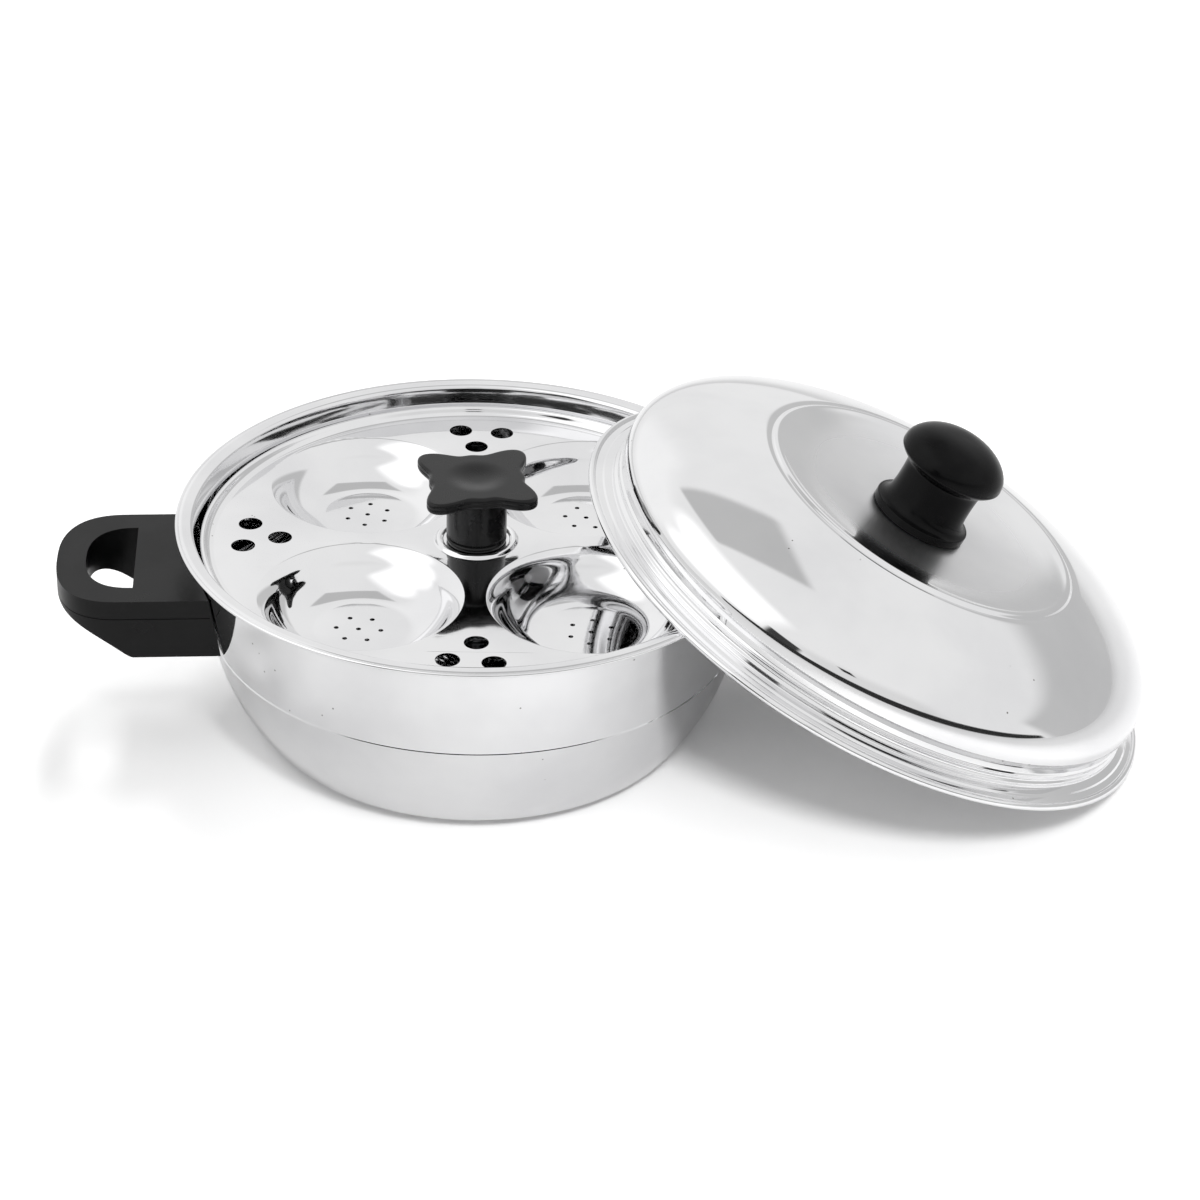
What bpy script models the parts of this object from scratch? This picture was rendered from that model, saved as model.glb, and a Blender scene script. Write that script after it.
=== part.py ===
# Multi kadai: a round-bottomed steel steaming pan with two D-loop handles, a stack of two
# four-cup plates on a centre rod with a star knob, and a domed lid leaning on the rim.
# Metres, +Z up. The origin is the centre of the base, on the surface that the pan stands on.
# +X runs through the middle of the right handle.

import math

import bmesh
import bpy
from mathutils import Vector

# Clearances
SEAT_GAP = 0.0003
LID_SEAT_GAP = 0.00025
BORE_GAP = 0.0003

# Pan body: a pressed sheet with an outward rim flange
PAN_SHEET = 0.0010
RIM_RADIUS = 0.1200
RIM_HEIGHT = 0.0913
FLANGE_WIDTH = 0.0061
FLANGE_CROWN = 0.0005
FLANGE_HEM = 0.0018
FLANGE_BEND = 0.0012
WALL_TOP_INSET = 0.0064
WALL_TOP_DROP = 0.0030
WALL_TAPER = 0.0060
BAND_DROP = 0.0436
LOWER_TURN = math.radians(36.5)
CORNER_RADIUS = 0.0080
PAN_STEPS = 44

# Bonded base: an aluminium core under the pan, inside a steel cap
BASE_HEIGHT = 0.0030
CAP_INSET = 0.0070
CAP_SHEET = 0.0005
CAP_EDGE_RADIUS = 0.0012
BASE_STEPS = 32

# Side handles
HANDLE_DROP = 0.0175
HANDLE_THICKNESS = 0.0255
HANDLE_HALF_WIDTH = 0.0348
HANDLE_LENGTH = 0.0474
HANDLE_STRAIGHT = 0.0200
HANDLE_FULLNESS = 2.6
HANDLE_EDGE_RADIUS = 0.0015
LOOP_INSET = 0.0163
GRIP_WIDTH = 0.0115
LOOP_HALF_WIDTH = 0.0238
LOOP_FULLNESS = 2.5
TAPER_INSET = 0.0165
TIP_THICKNESS = 0.0086
UNDERSIDE_BEND = (0.45, 0.56)

# Handle brackets and their screws
BRACKET_SHEET = 0.0015
BRACKET_HALF_WIDTH = 0.0120
BRACKET_HALF_HEIGHT = 0.0085
BOSS_RADIUS = 0.0045
BOSS_LENGTH = 0.0100
HANDLE_SCREW_RADIUS = 0.0025
HANDLE_SCREW_HEAD_RADIUS = 0.0046
HANDLE_SCREW_HEAD_HEIGHT = 0.0030
HANDLE_SCREW_RECESS = 0.0050
HANDLE_WASHER_SHEET = 0.0008
SCREW_TIP_ROOM = 0.0012
SCREW_TIP_CHAMFER = 0.0005

# Cup plates
PLATE_SHEET = 0.0008
PLATE_TURN = math.radians(-3.0)
UPPER_PLATE_DROP = 0.0111
UPPER_PLATE_GAP = 0.0010
LOWER_PLATE_GAP = 0.0006
PLATE_SPACING = 0.0382
PLATE_RIM_WIDTH = 0.0058
PLATE_RIM_RISE = 0.0034
UPPER_CUP_INNER_REACH = 0.0224
LOWER_CUP_INNER_REACH = 0.0202
CUP_EDGE_WEB = 0.0006
CUP_DEPTH = 0.0150
CUP_FLOOR_SHARE = 0.40
CUP_FULLNESS = 2.3
CUP_MOUTH_ROUND = 0.0010
CUP_DEPTH_SHARES = (0.05, 0.35, 0.65, 0.85, 1.0)
CUP_COUNT = 4
DRAIN_HOLE_RADIUS = 0.0010
DRAIN_CIRCLE = 0.0088
DRAIN_COUNT = 6
DRAIN_TURN = math.radians(9.4)
DRAIN_OFFSET = 0.0012
DRAIN_SIDES = 5
STEAM_HOLE_RADIUS = 0.0048
STEAM_HOLES = ((0.0172, 4.6), (0.0187, -6.3), (0.0318, 0.5))
COLLAR_RADIUS = 0.0172
COLLAR_WIDTH = 0.0042
COLLAR_RISE = 0.0015

# Centre rod, spacer, washer and nut
ROD_RADIUS = 0.0040
ROD_BORE_RADIUS = 0.0044
ROD_CHAMFER = 0.0008
ROD_IN_KNOB = 0.0150
ROD_BELOW_NUT = 0.0012
SPACER_RADIUS = 0.0070
ROD_WASHER_RADIUS = 0.0095
ROD_WASHER_SHEET = 0.0012
NUT_ACROSS_CORNERS = 0.0150
NUT_HEIGHT = 0.0065

# Star knob and its threaded insert
STAR_TOP_ABOVE_RIM = 0.0177
STAR_MEAN_RADIUS = 0.0226
STAR_SWING = 0.0050
STAR_SHARPNESS = 0.0016
STAR_POINTS = 4
STAR_TURN = math.radians(49.6)
STAR_HEAD_THICKNESS = 0.0048
STAR_EDGE_RADIUS = 0.0015
STAR_NECK_RADIUS = 0.0121
STAR_FOOT_GROOVE = 0.0005
STAR_GROOVE_LOW = 0.0014
STAR_GROOVE_HIGH = 0.0030
STAR_DISH_RADIUS = 0.0125
STAR_DISH_DEPTH = 0.0008
STAR_INSERT_RADIUS = 0.0060
STAR_INSERT_LENGTH = 0.0160
STAR_OUTLINE_POINTS = 40

# Lid: an open dome whose height is measured from the middle of its rolled edge
LID_SHEET = 0.0008
LID_OVERHANG = 0.0072
LID_FLANGE_WIDTH = 0.0102
LID_WALL_FOOT = 0.0036
LID_WALL_TOP = 0.0105
LID_SHOULDER_BULGE = 0.0014
LID_SHOULDER_HEIGHT = 0.0170
LID_DOME_RISE = 0.0367
LID_DOME_STEPS = 6
LID_RING_RADIUS = 0.0684
LID_RING_WIDTH = 0.0040
LID_RING_RISE = 0.0002
LID_RING_BEND = 0.0006
LID_RING_FOOT = 0.0026
LID_DISH_DROP = 0.0052
LID_DISH_BEND = (0.72, 0.36)
LID_KNOB_SEAT = 0.0020
LID_STEPS = 44
LID_OFFSET = 0.0397
LID_BEARING = math.radians(-3.0)
LID_LEAN_BEARING = math.radians(-3.5)

# Lid knob, its insert, screw and washer
KNOB_FLANGE_RADIUS = 0.0215
KNOB_FLANGE_HEIGHT = 0.0034
KNOB_NECK_RADIUS = 0.0163
KNOB_HEAD_RADIUS = 0.0222
KNOB_HEAD_BASE = 0.0232
KNOB_HEAD_WIDEST = 0.0273
KNOB_HEIGHT = 0.0396
KNOB_STEPS = 24
KNOB_INSERT_RADIUS = 0.0040
KNOB_INSERT_LENGTH = 0.0150
LID_SCREW_RADIUS = 0.0020
LID_SCREW_LENGTH = 0.0165
LID_SCREW_HEAD_RADIUS = 0.0042
LID_SCREW_HEAD_HEIGHT = 0.0024
LID_WASHER_RADIUS = 0.0055
LID_WASHER_SHEET = 0.0009

SMALL_STEPS = 14
CUTTER_REACH = 0.0200
MERGE = 0.000002

# Sizes that follow the rim
WALL_TOP_RADIUS = RIM_RADIUS - WALL_TOP_INSET
BAND_RADIUS = WALL_TOP_RADIUS - WALL_TAPER
HANDLE_REACH = RIM_RADIUS + HANDLE_LENGTH
HANDLE_BEND_START = RIM_RADIUS + HANDLE_STRAIGHT
LOOP_START = RIM_RADIUS + LOOP_INSET
LOOP_END = HANDLE_REACH - GRIP_WIDTH
TAPER_START = RIM_RADIUS + TAPER_INSET
LID_RADIUS = RIM_RADIUS + LID_OVERHANG
LID_WALL_RADIUS = LID_RADIUS - LID_FLANGE_WIDTH
LID_WIDEST_RADIUS = LID_WALL_RADIUS + LID_SHOULDER_BULGE
LID_DISTANCE = RIM_RADIUS + LID_OFFSET


def new_collection(name):
    collection = bpy.data.collections.new(name)
    bpy.context.scene.collection.children.link(collection)
    return collection


def material(name, colour, metallic, roughness):
    made = bpy.data.materials.new(name)
    made.use_nodes = True
    shader = made.node_tree.nodes["Principled BSDF"]
    shader.inputs["Base Color"].default_value = (*colour, 1.0)
    shader.inputs["Metallic"].default_value = metallic
    shader.inputs["Roughness"].default_value = roughness
    made.diffuse_color = (*colour, 1.0)
    return made


def place(obj, collection, skin=None):
    collection.objects.link(obj)
    if skin:
        obj.data.materials.append(skin)
    if obj.type == "MESH":
        obj.data.shade_smooth()
        obj.data.set_sharp_from_angle(angle=math.radians(32.0))
    return obj


def hide_cutter(obj):
    obj.hide_render = True
    obj.display_type = "WIRE"
    return obj


def arc(centre, radius, start, end, points):
    """Points of an arc in the profile plane, angles in degrees from +X."""
    angles = [math.radians(start + (end - start) * k / (points - 1)) for k in range(points)]
    return [(centre[0] + radius * math.cos(a), centre[1] + radius * math.sin(a)) for a in angles]


def circle(centre, radius, points, turn=0.0):
    return [
        (centre[0] + radius * math.cos(turn + math.tau * k / points),
         centre[1] + radius * math.sin(turn + math.tau * k / points))
        for k in range(points)
    ]


def turned(name, profile, steps, closed=False, sheet=0.0):
    """A profile of (radius, height) points turned about Z, with a sheet's thickness if given."""
    mesh = bpy.data.meshes.new(name)
    edges = [(k, k + 1) for k in range(len(profile) - 1)]
    if closed:
        edges.append((len(profile) - 1, 0))
    mesh.from_pydata([(r, 0.0, z) for r, z in profile], edges, [])
    obj = bpy.data.objects.new(name, mesh)
    screw = obj.modifiers.new("Turn", "SCREW")
    screw.axis = "Z"
    screw.steps = steps
    screw.render_steps = steps
    screw.use_merge_vertices = True
    screw.merge_threshold = MERGE
    screw.use_smooth_shade = True
    if sheet:
        solidify = obj.modifiers.new("Sheet", "SOLIDIFY")
        solidify.thickness = sheet
        solidify.offset = -1.0
        solidify.use_even_offset = True
    return obj


def settled(obj):
    """The object's mesh with its modifiers worked in, as a new free object."""
    name = obj.name
    source = obj.data
    bpy.context.scene.collection.objects.link(obj)
    bpy.context.view_layer.update()
    graph = bpy.context.evaluated_depsgraph_get()
    mesh = bpy.data.meshes.new_from_object(obj.evaluated_get(graph))
    pose = obj.matrix_world.copy()
    bpy.data.objects.remove(obj)
    bpy.data.batch_remove([source])
    mesh.name = name
    made = bpy.data.objects.new(name, mesh)
    made.matrix_world = pose
    return made


def flat_shape(name, outlines, thickness, edge_radius=0.0, edge_steps=0):
    """A filled outline, with any inner outlines as holes, centred on its thickness."""
    curve = bpy.data.curves.new(name, "CURVE")
    curve.dimensions = "2D"
    curve.fill_mode = "BOTH" if thickness else "FRONT"
    curve.extrude = max(thickness / 2.0 - edge_radius, 0.0)
    if edge_radius:
        curve.bevel_depth = edge_radius
        curve.bevel_resolution = edge_steps
        curve.offset = -edge_radius
    for outline in outlines:
        spline = curve.splines.new("POLY")
        spline.points.add(len(outline) - 1)
        for point, (x, y) in zip(spline.points, outline):
            point.co = (x, y, 0.0, 1.0)
        spline.use_cyclic_u = True
    made = settled(bpy.data.objects.new(name, curve))
    weld(made)
    return made


def weld(obj):
    mesh = bmesh.new()
    mesh.from_mesh(obj.data)
    bmesh.ops.remove_doubles(mesh, verts=mesh.verts, dist=MERGE)
    bmesh.ops.recalc_face_normals(mesh, faces=mesh.faces)
    mesh.to_mesh(obj.data)
    mesh.free()


def cylinder(name, radius, length, steps=SMALL_STEPS, turn=0.0):
    """A cylinder along Z, standing on Z = 0."""
    mesh = bmesh.new()
    bmesh.ops.create_cone(mesh, cap_ends=True, segments=steps, radius1=radius, radius2=radius, depth=length)
    bmesh.ops.translate(mesh, verts=mesh.verts, vec=(0.0, 0.0, length / 2.0))
    data = bpy.data.meshes.new(name)
    mesh.to_mesh(data)
    mesh.free()
    obj = bpy.data.objects.new(name, data)
    obj.rotation_euler.z = turn
    return obj


def block(name, low, high):
    mesh = bmesh.new()
    bmesh.ops.create_cube(mesh, size=1.0)
    size = Vector(high) - Vector(low)
    middle = (Vector(high) + Vector(low)) / 2.0
    bmesh.ops.scale(mesh, verts=mesh.verts, vec=size)
    bmesh.ops.translate(mesh, verts=mesh.verts, vec=middle)
    data = bpy.data.meshes.new(name)
    mesh.to_mesh(data)
    mesh.free()
    return bpy.data.objects.new(name, data)


def combine(obj, other, operation):
    """Adds a Boolean by a cutter that is kept, hidden, in the cutters' collection."""
    cutters = bpy.data.collections["cutters"]
    if not other.users_collection:
        cutters.objects.link(other)
    hide_cutter(other)
    change = obj.modifiers.new(operation.title(), "BOOLEAN")
    change.operation = operation
    change.object = other
    change.solver = "EXACT"
    return change


def pan_wall_radius(height):
    """Outer radius of the pan's upper wall at a height, on its straight taper."""
    wall_top = RIM_HEIGHT - WALL_TOP_DROP
    band = RIM_HEIGHT - BAND_DROP
    share = (height - band) / (wall_top - band)
    return BAND_RADIUS + (WALL_TOP_RADIUS - BAND_RADIUS) * share


def wall_lean():
    return math.atan2(WALL_TAPER, BAND_DROP - WALL_TOP_DROP)


def side_arc():
    """Centre and radius of the round lower side, which meets the upper wall at the band."""
    drop = RIM_HEIGHT - BAND_DROP - BASE_HEIGHT
    corner_drop = CORNER_RADIUS * (1.0 - math.sin(LOWER_TURN))
    radius = (drop - corner_drop) / (math.sin(LOWER_TURN) - math.sin(wall_lean()))
    centre = (BAND_RADIUS - radius * math.cos(wall_lean()),
              RIM_HEIGHT - BAND_DROP + radius * math.sin(wall_lean()))
    return centre, radius


def corner_centre():
    """Centre of the small corner between the floor and the round side."""
    centre, radius = side_arc()
    reach = radius - CORNER_RADIUS
    return (centre[0] + reach * math.cos(LOWER_TURN), centre[1] - reach * math.sin(LOWER_TURN))


def pan_inside():
    """The pan's inner face, from the middle of the floor up, out over the rim and under."""
    side_centre, side_radius = side_arc()
    lean = math.degrees(wall_lean())
    turn = math.degrees(LOWER_TURN)
    points = [(0.0, BASE_HEIGHT + PAN_SHEET)]
    points += arc(corner_centre(), CORNER_RADIUS - PAN_SHEET, -90.0, -turn, 3)
    points += arc(side_centre, side_radius - PAN_SHEET, -turn, -lean, 5)[1:]
    points.append((WALL_TOP_RADIUS - PAN_SHEET, RIM_HEIGHT - WALL_TOP_DROP))
    points += flange_top()
    return points


def flange_top():
    """The rim flange's upper face, from its inner bend to the hem under its outer edge."""
    inner = RIM_RADIUS - FLANGE_WIDTH
    crown = RIM_HEIGHT + FLANGE_CROWN
    return [
        (inner - 0.75 * FLANGE_BEND, RIM_HEIGHT - FLANGE_BEND),
        (inner + 0.25 * FLANGE_BEND, RIM_HEIGHT),
        (RIM_RADIUS - FLANGE_WIDTH / 2.0, crown),
        (RIM_RADIUS - FLANGE_BEND, crown - 0.4 * FLANGE_CROWN),
        (RIM_RADIUS - 0.11 * FLANGE_HEM, RIM_HEIGHT - 0.22 * FLANGE_HEM),
        (RIM_RADIUS, RIM_HEIGHT - 0.56 * FLANGE_HEM),
        (RIM_RADIUS - 0.17 * FLANGE_HEM, RIM_HEIGHT - FLANGE_HEM),
    ]


def pan_inner_radius(height):
    """Radius of the pan's inner face at a height below the flange."""
    points = pan_inside()
    for (r0, z0), (r1, z1) in zip(points[1:], points[2:]):
        if z0 <= height <= z1:
            return r0 + (r1 - r0) * (height - z0) / (z1 - z0)
    return points[-1][0]


def make_pan(parts, steel):
    return place(turned("kadai_body", pan_inside(), PAN_STEPS, sheet=PAN_SHEET), parts, steel)


def make_base(parts, steel, aluminium):
    cap_radius = corner_centre()[0] - CAP_INSET
    core_radius = cap_radius - CAP_SHEET - BORE_GAP
    core = [
        (0.0, BASE_HEIGHT - SEAT_GAP),
        (core_radius, BASE_HEIGHT - SEAT_GAP),
        (core_radius, CAP_SHEET + SEAT_GAP + CAP_EDGE_RADIUS),
        (core_radius - CAP_EDGE_RADIUS, CAP_SHEET + SEAT_GAP),
        (0.0, CAP_SHEET + SEAT_GAP),
    ]
    place(turned("base_core", core, BASE_STEPS), parts, aluminium)
    bend = arc((cap_radius - CAP_EDGE_RADIUS - CAP_SHEET, CAP_EDGE_RADIUS + CAP_SHEET),
               CAP_EDGE_RADIUS + CAP_SHEET, 0.0, -90.0, 3)
    cap = [(cap_radius, BASE_HEIGHT - SEAT_GAP)] + bend + [(0.0, 0.0)]
    place(turned("base_cap", cap, BASE_STEPS, sheet=CAP_SHEET), parts, steel)


def bowed(start, reach, half_width, fullness, points):
    """Half of a full oval, from +Y round the far end to -Y."""
    outline = []
    for k in range(points):
        angle = math.pi / 2.0 - math.pi * k / (points - 1)
        across = abs(math.sin(angle)) ** (2.0 / fullness)
        along = max(math.cos(angle), 0.0) ** (2.0 / fullness)
        outline.append((start + (reach - start) * along, math.copysign(half_width * across, angle)))
    return outline


def handle_top():
    return RIM_HEIGHT - HANDLE_DROP


def bracket_height():
    return handle_top() - HANDLE_THICKNESS / 2.0


def wall_cutter(name, gap):
    """A solid that fills the pan's upper wall out to a gap, with the wall's own facets."""
    low = RIM_HEIGHT - BAND_DROP - CUTTER_REACH
    high = RIM_HEIGHT + CUTTER_REACH
    profile = [
        (0.0, high),
        (pan_wall_radius(high) + gap, high),
        (pan_wall_radius(low) + gap, low),
        (0.0, low),
    ]
    return turned(name, profile, PAN_STEPS)


def along_x(obj, x, height, towards=1.0):
    """Lays an object that was made along Z on the X axis, from x outwards or inwards."""
    obj.location = (x, 0.0, height)
    obj.rotation_euler = (0.0, towards * math.pi / 2.0, 0.0)
    return obj


def make_handle(side, turn, parts, bakelite):
    name = "handle_" + side
    middle = bracket_height()
    outer = [(BAND_RADIUS - CUTTER_REACH, HANDLE_HALF_WIDTH)]
    outer += bowed(HANDLE_BEND_START, HANDLE_REACH, HANDLE_HALF_WIDTH, HANDLE_FULLNESS, 13)
    outer.append((BAND_RADIUS - CUTTER_REACH, -HANDLE_HALF_WIDTH))
    loop = bowed(LOOP_START, LOOP_END, LOOP_HALF_WIDTH, LOOP_FULLNESS, 9)
    handle = flat_shape(name, [outer, loop], HANDLE_THICKNESS, HANDLE_EDGE_RADIUS, 1)
    handle.location.z = middle

    drop = HANDLE_THICKNESS - TIP_THICKNESS
    below = -HANDLE_THICKNESS / 2.0
    side_view = [
        (TAPER_START, below - CUTTER_REACH),
        (TAPER_START, below),
        (TAPER_START + UNDERSIDE_BEND[0] * (HANDLE_REACH - TAPER_START), below + UNDERSIDE_BEND[1] * drop),
        (HANDLE_REACH, below + drop),
        (HANDLE_REACH + CUTTER_REACH, below + drop + 0.5 * TIP_THICKNESS),
        (HANDLE_REACH + CUTTER_REACH, below - CUTTER_REACH),
    ]
    under = flat_shape(name + "_under", [side_view], 2.0 * HANDLE_HALF_WIDTH + CUTTER_REACH)
    under.rotation_euler.x = math.pi / 2.0
    under.location.z = middle
    combine(handle, under, "DIFFERENCE")
    combine(handle, wall_cutter(name + "_wall", SEAT_GAP), "DIFFERENCE")

    seat = pan_wall_radius(middle)
    room = BORE_GAP
    pocket = block(name + "_pocket",
                   (seat - CUTTER_REACH, -BRACKET_HALF_WIDTH - room, middle - BRACKET_HALF_HEIGHT - room),
                   (seat + SEAT_GAP + BRACKET_SHEET + room, BRACKET_HALF_WIDTH + room,
                    middle + BRACKET_HALF_HEIGHT + room))
    combine(handle, pocket, "DIFFERENCE")
    boss_room = cylinder(name + "_boss_room", BOSS_RADIUS + room, SEAT_GAP + BOSS_LENGTH + room)
    combine(handle, along_x(boss_room, seat, middle), "DIFFERENCE")
    shank = cylinder(name + "_shank", HANDLE_SCREW_RADIUS + room, CUTTER_REACH)
    combine(handle, along_x(shank, seat + SEAT_GAP + BOSS_LENGTH / 2.0, middle), "DIFFERENCE")
    recess = cylinder(name + "_recess", HANDLE_SCREW_HEAD_RADIUS + 2.0 * room, CUTTER_REACH / 2.0)
    combine(handle, along_x(recess, LOOP_START - HANDLE_SCREW_RECESS, middle), "DIFFERENCE")
    handle = settled(handle)
    handle.rotation_euler.z = turn
    return place(handle, parts, bakelite)


def make_bracket(side, turn, parts, steel):
    """A plate welded to the pan's wall, with a threaded boss that stands out of it."""
    name = "bracket_" + side
    middle = bracket_height()
    seat = pan_wall_radius(middle)
    bracket = block(name,
                    (seat - CUTTER_REACH, -BRACKET_HALF_WIDTH, middle - BRACKET_HALF_HEIGHT),
                    (seat + SEAT_GAP + BRACKET_SHEET, BRACKET_HALF_WIDTH, middle + BRACKET_HALF_HEIGHT))
    boss = cylinder(name + "_boss", BOSS_RADIUS, BOSS_LENGTH)
    combine(bracket, along_x(boss, seat + SEAT_GAP, middle), "UNION")
    combine(bracket, wall_cutter(name + "_wall", SEAT_GAP), "DIFFERENCE")
    bore = cylinder(name + "_bore", HANDLE_SCREW_RADIUS + BORE_GAP, CUTTER_REACH)
    depth = BOSS_LENGTH - BRACKET_SHEET
    combine(bracket, along_x(bore, seat + SEAT_GAP + BOSS_LENGTH - depth, middle), "DIFFERENCE")
    bracket = settled(bracket)
    bracket.rotation_euler.z = turn
    return place(bracket, parts, steel)


def pan_head_screw(name, radius, length, head_radius, head_height):
    """A screw along +Z: its shank's tip up, its rounded head below Z = 0."""
    profile = [
        (0.0, length),
        (radius - SCREW_TIP_CHAMFER, length),
        (radius, length - SCREW_TIP_CHAMFER),
        (radius, 0.0),
        (head_radius, 0.0),
        (head_radius, -0.45 * head_height),
        (0.72 * head_radius, -0.85 * head_height),
        (0.30 * head_radius, -head_height),
        (0.0, -head_height),
    ]
    return turned(name, profile, SMALL_STEPS)


def washer(name, inner, outer, sheet):
    profile = [(outer, sheet), (outer, 0.0), (inner, 0.0), (inner, sheet)]
    return turned(name, profile, SMALL_STEPS, closed=True)


def make_handle_fixings(side, turn, parts, steel):
    middle = bracket_height()
    seat = pan_wall_radius(middle)
    shoulder = LOOP_START - HANDLE_SCREW_RECESS
    washer_face = shoulder + SEAT_GAP + HANDLE_WASHER_SHEET
    tip = seat + SEAT_GAP + BRACKET_SHEET + SCREW_TIP_ROOM
    head_face = washer_face + SEAT_GAP
    screw = pan_head_screw("handle_screw_" + side, HANDLE_SCREW_RADIUS, head_face - tip,
                           HANDLE_SCREW_HEAD_RADIUS, HANDLE_SCREW_HEAD_HEIGHT)
    ring = washer("handle_washer_" + side, HANDLE_SCREW_RADIUS + BORE_GAP,
                  HANDLE_SCREW_HEAD_RADIUS, HANDLE_WASHER_SHEET)
    for obj, x, towards in ((screw, head_face, -1.0), (ring, shoulder + SEAT_GAP, 1.0)):
        settled_obj = settled(along_x(obj, x, middle, towards))
        pivot = settled_obj.matrix_world.copy()
        settled_obj.data.transform(pivot)
        settled_obj.matrix_world.identity()
        settled_obj.rotation_euler.z = turn
        place(settled_obj, parts, steel)


def cup_profile(radius):
    """A cup's inner face in (radius, depth): a rounded mouth, then an oval to its floor's edge."""
    mouth = radius - CUP_MOUTH_ROUND
    hollow = 1.0 - CUP_FLOOR_SHARE ** CUP_FULLNESS
    points = [(radius, 0.0)]
    for share in CUP_DEPTH_SHARES:
        reach = (1.0 - hollow * share ** CUP_FULLNESS) ** (1.0 / CUP_FULLNESS)
        points.append((mouth * reach, -share * CUP_DEPTH))
    return points


def plate_rim_profile(radius):
    """The plate's upturned and rolled rim in (radius, height) from the flat outwards."""
    return [
        (radius - PLATE_RIM_WIDTH, 0.0),
        (radius - 0.58 * PLATE_RIM_WIDTH, 0.20 * PLATE_RIM_RISE),
        (radius - 0.34 * PLATE_RIM_WIDTH, 0.85 * PLATE_RIM_RISE),
        (radius - 0.12 * PLATE_RIM_WIDTH, PLATE_RIM_RISE),
        (radius, 0.62 * PLATE_RIM_RISE),
    ]


def collar_profile():
    """The ring pressed up round the rod's hole, from the flat inwards."""
    inner = COLLAR_RADIUS - COLLAR_WIDTH
    return [
        (COLLAR_RADIUS, 0.0),
        (COLLAR_RADIUS - 0.30 * COLLAR_WIDTH, 0.92 * COLLAR_RISE),
        (COLLAR_RADIUS - 0.62 * COLLAR_WIDTH, COLLAR_RISE),
        (inner, 0.0),
    ]


def spin_profile(mesh, centre, profile, steps, turn):
    """Turns a profile about an upright axis through a centre, into an open mesh."""
    corners = []
    for radius, height in profile:
        corners.append(mesh.verts.new((centre[0] + radius * math.cos(turn),
                                       centre[1] + radius * math.sin(turn), height)))
    edges = [mesh.edges.new(pair) for pair in zip(corners, corners[1:])]
    bmesh.ops.spin(mesh, geom=corners + edges, cent=(*centre, 0.0), axis=(0.0, 0.0, 1.0),
                   angle=math.tau, steps=steps, use_merge=True)


def add_flat(mesh, name, outlines, height):
    flat = flat_shape(name, outlines, 0.0)
    flat.data.transform(flat.matrix_world)
    start = len(mesh.verts)
    mesh.from_mesh(flat.data)
    mesh.verts.ensure_lookup_table()
    for vertex in mesh.verts[start:]:
        vertex.co.z = height
    bpy.data.objects.remove(flat)


def cup_plate(name, height, edge_gap, cup_inner_reach, rim_steps, cup_steps):
    """A pressed sheet: a flat with a rolled rim, four cups, steam holes and a centre collar."""
    radius = plate_radius(height, edge_gap)
    cup_outer_reach = radius - PLATE_RIM_WIDTH - CUP_EDGE_WEB
    cup_radius = (cup_outer_reach - cup_inner_reach) / 2.0
    cup_circle = (cup_outer_reach + cup_inner_reach) / 2.0
    mesh = bmesh.new()
    flat_outlines = [circle((0.0, 0.0), radius - PLATE_RIM_WIDTH, rim_steps)]
    spin_profile(mesh, (0.0, 0.0), plate_rim_profile(radius), rim_steps, 0.0)
    collar = collar_profile()
    flat_outlines.append(circle((0.0, 0.0), COLLAR_RADIUS, cup_steps))
    spin_profile(mesh, (0.0, 0.0), collar, cup_steps, 0.0)
    add_flat(mesh, name + "_seat", [circle((0.0, 0.0), collar[-1][0], cup_steps),
                                    circle((0.0, 0.0), ROD_BORE_RADIUS, SMALL_STEPS)], 0.0)
    for k in range(CUP_COUNT):
        gap_angle = math.tau * k / CUP_COUNT
        for inset, offset in STEAM_HOLES:
            angle = gap_angle + math.radians(offset)
            spot = ((radius - inset) * math.cos(angle), (radius - inset) * math.sin(angle))
            flat_outlines.append(circle(spot, STEAM_HOLE_RADIUS, 10, angle))
        cup_angle = gap_angle + math.pi / CUP_COUNT
        centre = (cup_circle * math.cos(cup_angle), cup_circle * math.sin(cup_angle))
        profile = cup_profile(cup_radius)
        flat_outlines.append(circle(centre, cup_radius, cup_steps, cup_angle))
        spin_profile(mesh, centre, profile, cup_steps, cup_angle)
        reach = cup_circle + DRAIN_OFFSET
        middle = (reach * math.cos(cup_angle), reach * math.sin(cup_angle))
        drains = [middle] + circle(middle, DRAIN_CIRCLE, DRAIN_COUNT, cup_angle + DRAIN_TURN)
        floor_outlines = [circle(centre, profile[-1][0], cup_steps, cup_angle)]
        for spot in drains:
            floor_outlines.append(circle(spot, DRAIN_HOLE_RADIUS, DRAIN_SIDES, cup_angle))
        add_flat(mesh, name + "_floor", floor_outlines, -CUP_DEPTH)
    add_flat(mesh, name + "_flat", flat_outlines, 0.0)
    bmesh.ops.remove_doubles(mesh, verts=mesh.verts, dist=5.0 * MERGE)
    bmesh.ops.recalc_face_normals(mesh, faces=mesh.faces)
    up = sum(face.normal.z * face.calc_area() for face in mesh.faces)
    if up < 0.0:
        bmesh.ops.reverse_faces(mesh, faces=mesh.faces)
    data = bpy.data.meshes.new(name)
    mesh.to_mesh(data)
    mesh.free()
    plate = bpy.data.objects.new(name, data)
    solidify = plate.modifiers.new("Sheet", "SOLIDIFY")
    solidify.thickness = PLATE_SHEET
    solidify.offset = -1.0
    solidify.use_even_offset = True
    plate.rotation_euler.z = PLATE_TURN
    plate.location.z = height
    return plate


def upper_plate_height():
    return RIM_HEIGHT - UPPER_PLATE_DROP


def lower_plate_height():
    return upper_plate_height() - PLATE_SPACING


def plate_radius(height, edge_gap):
    """A plate's rim stops a gap away from where the pan's inner wall has narrowed to it."""
    contact = height + 0.60 * PLATE_RIM_RISE - PLATE_SHEET
    return pan_inner_radius(contact) - edge_gap


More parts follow.
